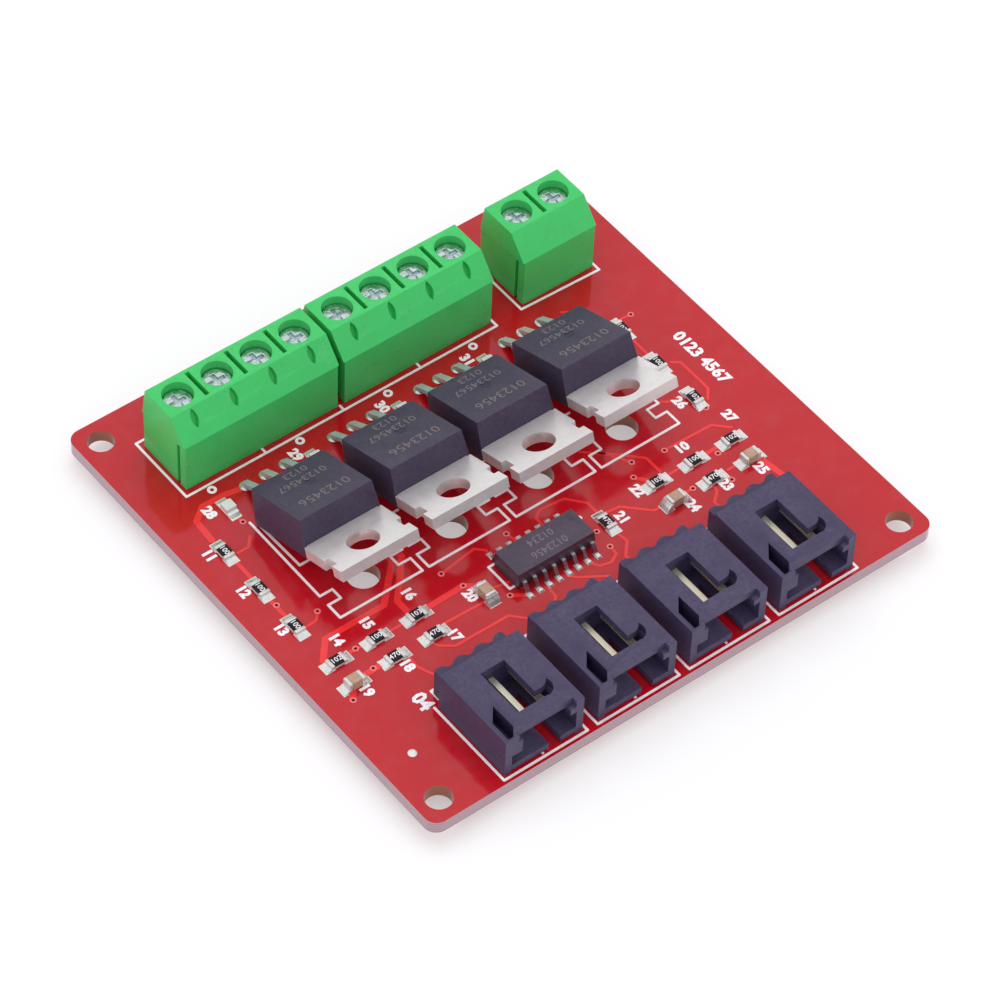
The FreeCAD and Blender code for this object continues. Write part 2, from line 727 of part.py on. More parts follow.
def build_transistor(index):
    """One power transistor: moulded body, cooling tab with the middle lead, and outer leads."""
    lean_value, lift, shift = TRANSISTORS[index]
    lean = as_size(lean_value)
    x = channel_place(index)
    heel_y = D["lead_row"] - D["body_back"] + shift
    heel_z = TOP + lift
    turn = ((1, 0, 0), -lean)
    tag = "transistor_%d" % (index + 1)

    draft = D["body_draft"]
    side = (
        (-D["body_length"] + draft * 0.5, ZERO),
        (draft * 0.5, ZERO),
        (-draft * 0.5, D["body_height"]),
        (-D["body_length"] + draft * 1.5, D["body_height"]),
    )
    block = profile_bar(tag + "_block", side, D["body_width"])
    flanks = []
    flank_run = (D["body_width"] - D["body_top_width"]) / 2
    for sign, word in ((-1, "left"), (1, "right")):
        body = doc.addObject("PartDesign::Body", "%s_flank_%s" % (tag, word))
        sketch = body_sketch(body, "%s_flank_%s_outline" % (tag, word), "XZ_Plane")
        outer = D["body_width"] * sign
        edge = D["body_width"] / 2 * sign
        top_edge = edge - flank_run * 2 * sign
        draw_outline(sketch, (
            (edge, ZERO),
            (outer, ZERO),
            (outer, D["body_height"] * 2),
            (top_edge, D["body_height"] * 2),
        ))
        pad(body, "%s_flank_%s_length" % (tag, word), sketch, D["body_length"] * 3, both_ways=True)
        flanks.append(body)
    mark = rod(
        tag + "_mark", D["ejector_mark_diameter"], D["body_height"],
        (D["ejector_mark_shift"], -D["ejector_mark_setback"], D["body_height"] - D["ejector_mark_depth"]),
    )
    tab_slot = centred_box(
        tag + "_tab_slot", D["tab_neck_width"], D["tab_length"], D["tab_thickness"],
        (ZERO, -D["tab_length"] / 2 - D["tab_inset"], ZERO),
    )
    lead_slots = [
        centred_box(
            "%s_lead_slot_%d" % (tag, step + 2), D["lead_shoulder_width"], D["lead_root"] * 2,
            D["lead_thickness"], (D["lead_pitch"] * step, ZERO, D["lead_level"] - D["lead_thickness"] / 2),
        )
        for step in (-1, 0, 1)
    ]
    riser_row = D["lead_thickness"] / 2 - D["lead_root"]
    riser = centred_box(
        tag + "_riser_slot", D["lead_shoulder_width"], D["lead_thickness"], D["lead_level"],
        (ZERO, riser_row, ZERO),
    )
    metal_room = fused(tag + "_metal", [tab_slot, riser] + lead_slots)
    moulding = cut(tag + "_moulding", block, flanks + [mark, metal_room])
    finish("transistor_body_%d" % (index + 1), place(moulding, (x, heel_y, heel_z), turn))

    # tab and middle lead, in the leaning frame of the transistor
    shoulder_row = D["body_length"] - draft * 0.5 + D["tab_neck_gap"]
    neck_end = shoulder_row + D["lead_lap"]
    tab = centred_box(
        tag + "_plate", D["tab_width"], D["tab_length"] - shoulder_row, D["tab_thickness"],
        (ZERO, -(D["tab_length"] + shoulder_row) / 2, ZERO),
    )
    neck = centred_box(
        tag + "_neck", D["tab_neck_width"], neck_end - D["tab_inset"], D["tab_thickness"],
        (ZERO, -(neck_end + D["tab_inset"]) / 2, ZERO),
    )
    hole = rod(
        tag + "_hole", D["tab_hole_diameter"], D["tab_thickness"] * 3,
        (ZERO, -D["tab_length"] + D["tab_hole_setback"], -D["tab_thickness"]),
    )
    notch_row = D["tab_notch_setback"] + D["tab_notch_length"] / 2 - D["tab_length"]
    notches = [
        centred_box(
            "%s_notch_%d" % (tag, sign + 1), D["tab_notch_depth"] * 2, D["tab_notch_length"],
            D["tab_thickness"] * 3, (D["tab_width"] / 2 * sign, notch_row, -D["tab_thickness"]),
        )
        for sign in (-1, 1)
    ]
    tab_riser = centred_box(
        tag + "_riser", D["lead_shoulder_width"], D["lead_thickness"],
        D["lead_level"] + D["lead_thickness"] / 2,
        (ZERO, riser_row, ZERO),
    )
    flat_tab = cut(tag + "_tab", fused(tag + "_tab_blank", [tab, neck, tab_riser]), [hole] + notches)
    place(flat_tab, (x, heel_y, heel_z), turn)

    # each lead leaves the body along the lean, slopes down to its hole and turns into it
    reach = D["lead_exit"]
    exit_y = heel_y + reach * cosine(lean) + D["lead_level"] * sine(lean)
    exit_z = heel_z + D["lead_level"] * cosine(lean) - reach * sine(lean)
    knee_z = TOP + D["lead_knee"]
    slope = bearing(exit_z - knee_z, D["lead_row"] - exit_y)
    slope_length = (D["lead_row"] - exit_y) / cosine(slope) + D["lead_thickness"] / 4
    shoulder_length = reach + D["lead_root"] + D["lead_lap"]
    shoulder_middle = (reach - D["lead_root"] + D["lead_lap"]) / 2
    wide_length = slope_length * D["lead_wide_share"]
    tail_height = knee_z + D["tail_length"] + D["lead_thickness"] / 2 - D["lead_lap"]
    thick = D["lead_thickness"]
    leads = []
    for step in (-1, 0, 1):
        name = "%s_lead_%d" % (tag, step + 2)
        offset = D["lead_pitch"] * step
        shoulder = centred_box(
            name + "_shoulder", D["lead_shoulder_width"], shoulder_length, thick,
            (offset, shoulder_middle, D["lead_level"] - thick / 2),
        )
        leaning = place(grouped(name + "_leaning", [shoulder]), (x, heel_y, heel_z), turn)
        wide = centred_box(
            name + "_wide", D["lead_shoulder_width"], wide_length, thick,
            (offset, wide_length / 2, -thick / 2),
        )
        strip = centred_box(
            name + "_strip", D["lead_width"], slope_length, thick,
            (offset, slope_length / 2, -thick / 2),
        )
        sloping = fused(name + "_sloping", [wide, strip])
        place(sloping, (x, exit_y, exit_z), ((1, 0, 0), -slope))
        tail = centred_box(
            name + "_tail", D["lead_width"], thick, tail_height,
            (x + offset, D["lead_row"], -D["tail_length"]),
        )
        leads.append([leaning, sloping, tail])
    finish("transistor_tab_%d" % (index + 1), fused(tag + "_tab_and_lead", [flat_tab] + leads[1]))
    outer = [fused("%s_outer_lead_%d" % (tag, number), leads[number * 2]) for number in (0, 1)]
    finish("transistor_leads_%d" % (index + 1), grouped(tag + "_outer_leads", outer))


# Optical isolator ------------------------------------------------------------------------


def build_isolator():
    """The isolator: a moulded body and two rows of gull-wing leads."""
    x = D["isolator_centre_along"]
    y = D["isolator_centre_across"]
    half = D["isolator_width"] / 2
    half_top = D["isolator_top_width"] / 2
    waist = D["isolator_height"] / 2
    outline = (
        (-half_top, ZERO),
        (half_top, ZERO),
        (half, waist),
        (half_top, D["isolator_height"]),
        (-half_top, D["isolator_height"]),
        (-half, waist),
    )
    bar = profile_bar("isolator_bar", outline, D["isolator_length"])
    dot = rod(
        "isolator_mark", D["isolator_mark_diameter"], D["isolator_height"], (
            D["isolator_length"] / 2 - D["isolator_mark_inset"],
            D["isolator_width"] / 4,
            D["isolator_height"] - D["isolator_mark_depth"],
        ),
    )
    body = cut("isolator_moulding", bar, [dot])
    place(body, (x, y, TOP + D["isolator_standoff"]))
    finish("isolator_body", body)

    thick = D["isolator_lead_thickness"]
    foot_end = D["isolator_span"] / 2
    foot_start = foot_end - D["isolator_foot"]
    level = D["isolator_standoff"] + waist
    gull = (
        (half, level - thick / 2),
        (half + D["isolator_shoulder"] - thick, level - thick / 2),
        (foot_start - thick / 2, ZERO),
        (foot_end, ZERO),
        (foot_end, thick),
        (foot_start + thick / 2, thick),
        (half + D["isolator_shoulder"], level + thick / 2),
        (half, level + thick / 2),
    )
    leads = []
    for side, word in ((1, "rear"), (-1, "front")):
        for number in range(8):
            name = "isolator_lead_%s_%d" % (word, number + 1)
            lead = profile_bar(name, [(v * side, w) for v, w in gull], D["isolator_lead_width"])
            place(lead, (x + D["isolator_lead_pitch"] * (number - 3.5), y, TOP))
            leads.append(lead)
    finish("isolator_leads", grouped("isolator_lead_set", leads))


# Headers ---------------------------------------------------------------------------------


def header_hook(name, x, floor):
    """The hooked end of the latch window, a crescent beside the window's near corner."""
    radius = D["header_hook_radius"]
    inner_radius = D["header_hook_inner_radius"]
    hub_x = x + D["header_window_left"] + D["header_window_width"] + D["header_hook_along"]
    hub_y = header_mouth + D["header_window_near"] + D["header_hook_across"]
    height = D["header_height"]
    outer = rod(name + "_outer", radius * 2, height, (hub_x, hub_y, floor))
    inner = rod(
        name + "_inner", inner_radius * 2, height * 2,
        (hub_x, hub_y + D["header_hook_inner_shift"], floor - D["overshoot"]),
    )
    crescent = cut(name + "_crescent", outer, [inner])
    keep = box(name + "_keep", radius * 2, radius * 2, height, (hub_x, hub_y - radius, floor))
    neck = box(
        name + "_neck", D["header_neck_length"], D["header_neck_width"], height,
        (hub_x - D["header_hook_along"] - D["sliver"], hub_y - D["header_hook_across"], floor),
    )
    return fused(name, [common(name + "_tip", crescent, keep), neck])


def build_header(index):
    """One locking header: shroud with latch window, fluted heel, and three bent pins."""
    tag = "header_%d" % (index + 1)
    middle = header_place(index)
    x = middle - D["header_width"] / 2
    y = header_mouth
    wall = D["header_wall"]
    roof = D["header_height"] - wall
    shroud = box(tag + "_shroud", D["header_width"], D["header_length"], D["header_height"], (x, y, TOP))
    heel_width = D["header_width"] - D["header_heel_inset"] * 2
    heel_left = x + D["header_heel_inset"]
    heel = box(
        tag + "_heel", heel_width, D["header_heel_length"], D["header_heel_height"],
        (heel_left, y + D["header_length"], TOP),
    )
    back = y + D["header_length"]
    lobes = [
        rod(
            "%s_lobe_%d" % (tag, number + 1), D["header_lobe_radius"] * 2, D["header_heel_height"],
            (middle + D["pin_pitch"] * (number - 1.5), back + D["header_lobe_setback"], TOP),
        )
        for number in range(4)
    ]
    lobe_room = box(
        tag + "_lobe_room", heel_width, D["header_length"], D["header_height"], (heel_left, back, TOP),
    )
    fluted = common(tag + "_fluted", fused(tag + "_lobes", lobes), lobe_room)
    blank = fused(tag + "_blank", [shroud, heel, fluted])

    web = D["header_web"]
    shelf = D["header_shelf"]
    rib = D["header_rib"]
    start = y - D["overshoot"]
    socket_length = D["header_socket_depth"] + D["overshoot"]
    socket_floor = TOP + D["header_floor"]
    socket_height = roof - D["header_floor"]
    roof_level = TOP + roof - D["sliver"]
    socket = box(
        tag + "_socket", D["header_width"] - wall - web - rib, socket_length, socket_height,
        (x + web, start, socket_floor),
    )
    right_bay = box(
        tag + "_right_bay", rib + D["overshoot"] / 2, socket_length, socket_height - rib,
        (x + D["header_width"] - wall - rib - D["overshoot"] / 2, start, socket_floor),
    )
    left_bay = box(
        tag + "_left_bay", web, socket_length, shelf - D["header_floor"], (x + wall, start, socket_floor),
    )
    brow = box(
        tag + "_brow", D["header_width"] - wall * 3, D["header_brow"] + D["overshoot"],
        D["header_height"], (x + web - D["header_brow_lap"], start, roof_level),
    )
    keyway = box(
        tag + "_keyway", D["header_keyway_width"], D["header_keyway_length"] + D["overshoot"],
        D["header_floor"] + D["overshoot"], (x + D["header_keyway_left"], start, TOP - D["overshoot"] / 2),
    )
    underside = box(
        tag + "_underside", D["header_width"] - wall * 2, D["header_length"] + D["overshoot"],
        D["header_foot"] * 2, (x + wall, start, TOP - D["header_foot"]),
    )
    window = box(
        tag + "_window", D["header_window_width"], D["header_window_far"] - D["header_window_near"],
        D["header_height"], (x + D["header_window_left"], y + D["header_window_near"], roof_level),
    )
    pocket = plate(
        tag + "_pocket", LATCH_POCKET, D["header_height"], (x, y, TOP + D["header_pocket_floor"]),
    )
    hook = header_hook(tag + "_hook", x, roof_level)
    pins = []
    pin_slots = []
    half_pin = D["pin_width"] / 2
    pin_length = D["pin_row"] + half_pin - D["pin_tip_setback"]
    pin_floor = TOP + D["pin_level"] - half_pin
    for step in (-1, 0, 1):
        name = "%s_pin_%d" % (tag, step + 2)
        pin_x = middle + D["pin_pitch"] * step
        pieces = []
        for use in ("", "_slot"):
            blade = box(
                name + use + "_blade", D["pin_width"], pin_length, D["pin_width"],
                (pin_x - half_pin, y + D["pin_tip_setback"], pin_floor),
            )
            leg = box(
                name + use + "_leg", D["pin_width"], D["pin_width"], pin_floor + D["tail_length"] + half_pin,
                (pin_x - half_pin, header_pin_row - half_pin, -D["tail_length"]),
            )
            pieces.append(fused(name + use, [blade, leg]))
        pins.append(pieces[0])
        pin_slots.append(pieces[1])
    hollow = fused(
        tag + "_hollow", [socket, right_bay, left_bay, brow, keyway, underside, window, pocket, hook])
    housing = cut(tag + "_housing", blank, [hollow] + pin_slots)
    finish("header_housing_%d" % (index + 1), housing)
    finish("header_pins_%d" % (index + 1), grouped(tag + "_pins", pins))


# Chip parts ------------------------------------------------------------------------------

left_column = D["chip_left_column"]
right_column = D["chip_right_column"]
row_pitch = D["chip_row_pitch"]
column_pitch = D["chip_column_pitch"]

# (x, y, stands along Y)
RESISTORS = (
    [(left_column, 9.0 - column_pitch * step, True) for step in range(3)]
    + [(right_column, 9.1 - column_pitch * step, True) for step in range(3)]
    + [(as_size(5.48), as_size(-11.3), True)]
    + [(-28.25 + row_pitch * step, as_size(-9.48), False) for step in range(3)]
    + [(-23.15 + row_pitch * step, as_size(-12.55), False) for step in range(2)]
    + [(13.1 + row_pitch * step, as_size(-10.13), False) for step in range(3)]
    + [(13.1 + row_pitch, as_size(-13.25), False)]
)
CAPACITORS = (
    (as_size(-28.48), as_size(-12.83), False),
    (as_size(-10.59), as_size(-11.43), True),
    (as_size(13.08), as_size(-13.33), False),
    (as_size(23.18), as_size(-13.39), False),
)


def chip_box(name, along, across, height, spot, shift, upright, floor):
    """A block of a chip part, shifted along the part, which may stand along Y."""
    x, y = spot
    if upright:
        return centred_box(name, across, along, height, (x, y + shift, floor))
    return centred_box(name, along, across, height, (x + shift, y, floor))


def build_chips(label, spots, height):
    """A set of chip parts: the ceramic bodies in one sub-part and their end caps in another."""
    bodies = []
    caps = []
    floor = TOP + D["chip_solder_gap"]
    middle = D["chip_length"] - D["chip_cap"] * 2
    offset = (D["chip_length"] - D["chip_cap"]) / 2
    for number, (x, y, upright) in enumerate(spots, start=1):
        name = "%s_%d" % (label, number)
        bodies.append(chip_box(name, middle, D["chip_width"], height, (x, y), ZERO, upright, floor))
        for side in (-1, 1):
            caps.append(chip_box(
                "%s_cap_%d" % (name, side + 1), D["chip_cap"], D["chip_width"], height + D["chip_solder_gap"],
                (x, y), offset * side, upright, TOP,
            ))
    finish(label + "_bodies", grouped(label + "_body_set", bodies))
    finish(label + "_caps", grouped(label + "_cap_set", caps))


def build_indicators():
    """Four chip lamps: a flat base with end terminals and a clear lens on top."""
    bases = []
    lenses = []
    for number in range(4):
        x = D["indicator_column"] + D["indicator_pitch"] * number
        y = D["indicator_row"]
        name = "indicator_%d" % (number + 1)
        bases.append(chip_box(
            name + "_base", D["chip_length"], D["chip_width"], D["indicator_base"], (x, y), ZERO, True, TOP))
        lenses.append(chip_box(
            name + "_lens", D["indicator_lens_length"], D["chip_width"], D["indicator_lens_height"],
            (x, y), ZERO, True, TOP + D["indicator_base"],
        ))
    finish("indicator_bases", grouped("indicator_base_set", bases))
    finish("indicator_lenses", grouped("indicator_lens_set", lenses))


# Solder ----------------------------------------------------------------------------------


def build_joints():
    """Solder cones under the board round every lead and pin that passes through it."""
    feet = []
    for x in screw_places:
        feet.append((x, terminal_leg_row, D["terminal_leg_width"], D["terminal_leg_depth"]))
    for x, y in transistor_lead_places:
        feet.append((x, y, D["lead_width"], D["lead_thickness"]))
    for x, y in header_pin_places:
        feet.append((x, y, D["pin_width"], D["pin_width"]))
    cones = []
    cores = []
    for number, (x, y, width, depth) in enumerate(feet, start=1):
        name = "joint_%d" % number
        cones.append(cone(
            name, D["joint_tip_radius"], D["joint_radius"], D["joint_height"], (x, y, -D["joint_height"])))
        cores.append(centred_box(
            name + "_core", width, depth, D["joint_height"] * 3, (x, y, -D["joint_height"] * 2)))
    finish("solder_joints", cut("joint_set", grouped("joint_cones", cones), cores))


# The whole board -------------------------------------------------------------------------

build_board()
for block_name, way_count, block_centre, has_probes in BLOCKS:
    build_housing(block_name, way_count, block_centre, has_probes)
    build_contacts(block_name, way_count, block_centre)
for screw_number, screw_x in enumerate(screw_places, start=1):
    build_screw(screw_number, screw_x)
    build_clamp(screw_number, screw_x)
for channel in range(4):
    build_transistor(channel)
    build_header(channel)
build_isolator()
build_chips("resistor", RESISTORS, D["resistor_height"])
build_chips("capacitor", CAPACITORS, D["capacitor_height"])
build_indicators()
build_joints()

doc.recompute()

faults = []
for thing in doc.Objects:
    if "Invalid" in thing.State or "Error" in thing.State:
        faults.append("%s is in state %s" % (thing.Label, thing.State))
for part in parts:
    if part.Shape.isNull() or not part.Shape.isValid() or not part.Shape.Solids:
        faults.append("%s has no valid shape" % part.Label)
if faults:
    raise RuntimeError("; ".join(faults))

os.makedirs("parts", exist_ok=True)
for part in parts:
    part.Shape.exportStep(os.path.join("parts", part.Label + ".step"))
    size = part.Shape.BoundBox
    print("%-26s solids %2d  volume %9.3f  z %6.2f to %6.2f" % (
        part.Label, len(part.Shape.Solids), part.Shape.Volume, size.ZMin, size.ZMax))
print("sub-parts:", len(parts))
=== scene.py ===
"""Looks of a red four-channel transistor switch board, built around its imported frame.

Lengths are in millimetres while a mesh is being made and become metres when it is finished.
+X runs along the header edge, +Y towards the terminal blocks and +Z up through the board.
"""

import json
import logging
import math
from dataclasses import dataclass, field
from enum import Enum
from typing import Callable, Iterable, List, Mapping, Optional, Sequence, Tuple

import bmesh
import bpy
from mathutils import Matrix, Vector

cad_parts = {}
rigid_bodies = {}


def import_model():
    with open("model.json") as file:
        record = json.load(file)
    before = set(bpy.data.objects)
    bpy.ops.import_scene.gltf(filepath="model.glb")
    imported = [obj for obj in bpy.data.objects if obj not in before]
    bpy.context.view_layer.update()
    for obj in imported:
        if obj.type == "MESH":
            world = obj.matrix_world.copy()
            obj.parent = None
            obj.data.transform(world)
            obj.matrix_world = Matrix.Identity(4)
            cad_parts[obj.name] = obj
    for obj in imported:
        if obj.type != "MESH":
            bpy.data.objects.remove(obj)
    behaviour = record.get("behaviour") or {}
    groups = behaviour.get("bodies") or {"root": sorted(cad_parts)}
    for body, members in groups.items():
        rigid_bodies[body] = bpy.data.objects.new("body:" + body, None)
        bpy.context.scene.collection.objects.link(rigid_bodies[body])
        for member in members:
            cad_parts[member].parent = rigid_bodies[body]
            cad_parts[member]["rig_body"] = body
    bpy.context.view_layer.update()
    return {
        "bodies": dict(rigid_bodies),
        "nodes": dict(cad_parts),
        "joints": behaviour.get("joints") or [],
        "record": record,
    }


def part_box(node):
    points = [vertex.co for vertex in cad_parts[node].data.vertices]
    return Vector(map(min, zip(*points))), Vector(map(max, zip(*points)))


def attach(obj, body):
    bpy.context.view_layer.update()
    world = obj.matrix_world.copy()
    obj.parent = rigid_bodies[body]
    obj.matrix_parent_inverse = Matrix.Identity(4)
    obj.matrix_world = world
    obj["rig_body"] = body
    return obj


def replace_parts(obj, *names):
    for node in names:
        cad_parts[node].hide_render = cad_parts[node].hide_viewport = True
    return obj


LOG = logging.getLogger("switch_board")
MM = 0.001
ROOT_BODY = "board_assembly"
CHANNELS = 4
SCREWS = 10

Colour = Tuple[float, float, float]
Spot = Tuple[float, float]
Route = Sequence[Spot]
Shape = bmesh.types.BMesh
Socket = bpy.types.NodeSocket
Sockets = Mapping[str, Socket]


def tint(red: int, green: int, blue: int) -> Colour:
    """Turn an 8-bit display colour into the linear colour a shader takes.

    Args:
        red: Red, 0 to 255.
        green: Green, 0 to 255.
        blue: Blue, 0 to 255.

    Returns:
        The linear colour.
    """
    def channel(value: int) -> float:
        """One channel of the colour."""
        share = value / 255
        return share / 12.92 if share <= 0.04045 else ((share + 0.055) / 1.055) ** 2.4

    return channel(red), channel(green), channel(blue)


def opaque(colour: Colour) -> Tuple[float, float, float, float]:
    """The colour with a full alpha, as a colour socket takes it."""
    return (*colour, 1.0)


class Slot(Enum):
    """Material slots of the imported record."""

    BOARD = "board"
    GREEN = "green_housing"
    BLACK = "black_housing"
    MOULDING = "transistor_moulding"
    ISOLATOR = "isolator_moulding"
    TAB = "transistor_metal"
    TINNED = "tinned_contact"
    SCREW = "screw_steel"
    CLAMP = "clamp_steel"
    PIN = "header_pin"
    RESISTOR = "resistor_ceramic"
    CAPACITOR = "capacitor_ceramic"
    LAMP_BASE = "indicator_base"
    LENS = "clear_lens"
    SOLDER = "solder"


class Heading(Enum):
    """Which way a printed number reads, as a turn about Z in degrees."""

    ALONG = 0
    TOWARDS_HEADERS = -90
    UPSIDE_DOWN = 180


class Kind(Enum):
    """Kinds of socket that a shader group has."""

    NUMBER = "NodeSocketFloat"
    COLOUR = "NodeSocketColor"
    PLACE = "NodeSocketVector"


# Shared shader effects ---------------------------------------------------------------------


class Bench:
    """Adds and joins the nodes of one node tree."""

    def __init__(self, tree: bpy.types.NodeTree) -> None:
        """Take the tree to work on."""
        self.tree = tree

    @classmethod
    def cleared(cls, holder: bpy.types.ID) -> "Bench":
        """Give a new material or world an empty node tree.

        Args:
            holder: The material or the world.

        Returns:
            The bench of its tree.
        """
        holder.use_nodes = True
        holder.node_tree.nodes.clear()
        return cls(holder.node_tree)

    def fill(self, socket: Socket, value: object) -> None:
        """Join an input to another node, or set its constant.

        Args:
            socket: The input.
            value: A constant, or the socket to join to it.
        """
        if isinstance(value, Socket):
            self.tree.links.new(value, socket)
        else:
            socket.default_value = value

    def add(self, kind: str, values: Optional[dict] = None, **settings: object) -> bpy.types.Node:
        """Add a node.

        Args:
            kind: The node's type name.
            values: Input names or numbers, with a constant or a socket to join to each.
            **settings: Properties of the node itself.

        Returns:
            The node.
        """
        node = self.tree.nodes.new(kind)
        for name, value in settings.items():
            setattr(node, name, value)
        for key, value in (values or {}).items():
            self.fill(node.inputs[key], value)
        return node

    def math(self, operation: str, first: object, second: object = 0.0, clamp: bool = True) -> Socket:
        """One sum on two values, kept within 0..1 unless told otherwise, and its socket."""
        node = self.add("ShaderNodeMath", {0: first, 1: second}, operation=operation, use_clamp=clamp)
        return node.outputs[0]

    def blend(self, mask: object, low: object, high: object) -> Socket:
        """Mix two colours by a mask and give the socket of the result."""
        node = self.add("ShaderNodeMix", {0: mask, 6: low, 7: high}, data_type="RGBA", blend_type="MIX")
        return node.outputs[2]

    def span(self, value: object, low: float, high: float, to_low: float, to_high: float) -> Socket:
        """Carry a value from one range to another and give the socket of the result."""
        node = self.add("ShaderNodeMapRange", {0: value, 1: low, 2: high, 3: to_low, 4: to_high})
        return node.outputs[0]

    def noise(self, place: Socket, scale: object, detail: float, roughness: float = 0.5) -> Socket:
        """Soft noise, and the socket of its value."""
        values = {"Vector": place, "Scale": scale, "Detail": detail, "Roughness": roughness}
        return self.add("ShaderNodeTexNoise", values).outputs["Fac"]

    def axes(self, vector: Socket) -> Sockets:
        """The sockets X, Y and Z of a vector."""
        return self.add("ShaderNodeSeparateXYZ", {0: vector}).outputs

    def size(self, value: Socket) -> Socket:
        """A value without its sign."""
        return self.math("ABSOLUTE", value, clamp=False)

    def seen(self) -> Socket:
        """Mask the rays of the camera, of reflections and through glass.

        Returns:
            The socket of the mask.
        """
        path = self.add("ShaderNodeLightPath").outputs
        direct = self.math("MAXIMUM", path["Is Camera Ray"], path["Is Glossy Ray"])
        return self.math("MAXIMUM", direct, path["Is Transmission Ray"])


@dataclass(frozen=True)
class Effect:
    """A shader node group that several finishes share, built once."""

    name: str
    inputs: Tuple[Tuple[str, Kind], ...]
    outputs: Tuple[Tuple[str, Kind], ...]
    wire: Callable[[Bench, Sockets], Sequence[Socket]]

    def tree(self) -> bpy.types.NodeTree:
        """Find the group, or build it the first time it is asked for.

        Returns:
            The group.
        """
        found = bpy.data.node_groups.get(self.name)
        if found:
            return found
        tree = bpy.data.node_groups.new(self.name, "ShaderNodeTree")
        for way, sockets in (("INPUT", self.inputs), ("OUTPUT", self.outputs)):
            for label, kind in sockets:
                tree.interface.new_socket(label, in_out=way, socket_type=kind.value)
        bench = Bench(tree)
        given = bench.add("NodeGroupInput").outputs
        result = bench.add("NodeGroupOutput").inputs
        for (label, _), value in zip(self.outputs, self.wire(bench, given)):
            bench.fill(result[label], value)
        return tree

    def place(self, bench: Bench, **values: object) -> Sockets:
        """Place the group in a material.

        Args:
            bench: The bench of the material's tree.
            **values: A constant or a socket for each of its inputs.

        Returns:
            Its output sockets.
        """
        return bench.add("ShaderNodeGroup", values, node_tree=self.tree()).outputs


def wire_tone_drift(bench: Bench, given: Sockets) -> Sequence[Socket]:
    """Let a colour wander a little lighter and darker in soft patches.

    Args:
        bench: The bench of the group's tree.
        given: The group's input sockets.

    Returns:
        The sockets of the colour and of the patches.
    """
    patches = bench.span(bench.noise(given["Place"], given["Scale"], 4.0, 0.6), 0.3, 0.7, 0.0, 1.0)
    swing = bench.math("ADD", patches, -0.5, clamp=False)
    scaled = bench.math("MULTIPLY", swing, given["Amount"], clamp=False)
    value = bench.math("ADD", scaled, 1.0, clamp=False)
    shade = bench.add("ShaderNodeHueSaturation", {"Color": given["Colour"], "Value": value})
    return shade.outputs[0], patches


def wire_fine_grain(bench: Bench, given: Sockets) -> Sequence[Socket]:
    """Raise a fine moulded or cast grain from two sizes of noise.

    Args:
        bench: The bench of the group's tree.
        given: The group's input sockets.

    Returns:
        The socket of the height.
    """
    scale_share, height_share = 0.13, 0.4
    fine = bench.noise(given["Place"], given["Scale"], 2.0)
    scale = bench.math("MULTIPLY", given["Scale"], scale_share, clamp=False)
    broad = bench.math("MULTIPLY", bench.noise(given["Place"], scale, 1.0), height_share, clamp=False)
    return (bench.math("ADD", fine, broad, clamp=False),)


def wire_edge_wear(bench: Bench, given: Sockets) -> Sequence[Socket]:
    """Mask the outer edges in broken lines, where handling polishes or bares a surface, and where the green
    housings get a painted highlight.

    Args:
        bench: The bench of the group's tree.
        given: The group's input sockets.

    Returns:
        The socket of the mask.
    """
    scratch_scale = 2600.0
    geometry = bench.add("ShaderNodeNewGeometry").outputs
    ridge = bench.span(geometry["Pointiness"], 0.51, 0.6, 0.0, 1.0)
    broken = bench.span(bench.noise(given["Place"], scratch_scale, 3.0), 0.35, 0.65, 0.25, 1.0)
    return (bench.math("MULTIPLY", bench.math("MULTIPLY", ridge, broken), given["Amount"]),)


def wire_settled_dust(bench: Bench, given: Sockets) -> Sequence[Socket]:
    """Mask thin patches of the faces that look up, where dust settles.

    Args:
        bench: The bench of the group's tree.
        given: The group's input sockets.

    Returns:
        The socket of the mask.
    """
    patch_scale = 420.0
    geometry = bench.add("ShaderNodeNewGeometry").outputs
    upward = bench.span(bench.axes(geometry["Normal"])["Z"], 0.6, 1.0, 0.0, 1.0)
    patches = bench.span(bench.noise(given["Place"], patch_scale, 6.0), 0.45, 0.75, 0.0, 1.0)
    return (bench.math("MULTIPLY", bench.math("MULTIPLY", upward, patches), given["Amount"]),)


PLACE = ("Place", Kind.PLACE)
COLOUR = ("Colour", Kind.COLOUR)
AMOUNT = ("Amount", Kind.NUMBER)
SCALE = ("Scale", Kind.NUMBER)
MASKED = ("Mask", Kind.NUMBER)

TONE_DRIFT = Effect("tone_drift", (PLACE, COLOUR, AMOUNT, SCALE), (COLOUR, MASKED), wire_tone_drift)
FINE_GRAIN = Effect("fine_grain", (PLACE, SCALE), (("Height", Kind.NUMBER),), wire_fine_grain)
EDGE_WEAR_AND_HIGHLIGHT = Effect("edge_wear_and_highlight", (PLACE, AMOUNT), (MASKED,), wire_edge_wear)
SETTLED_DUST = Effect("settled_dust", (PLACE, AMOUNT), (MASKED,), wire_settled_dust)


# Finishes ----------------------------------------------------------------------------------


DUST_COLOUR = (0.62, 0.6, 0.58)
GRAIN_DEPTH = 0.25
LEAST_ROUGHNESS = 0.02


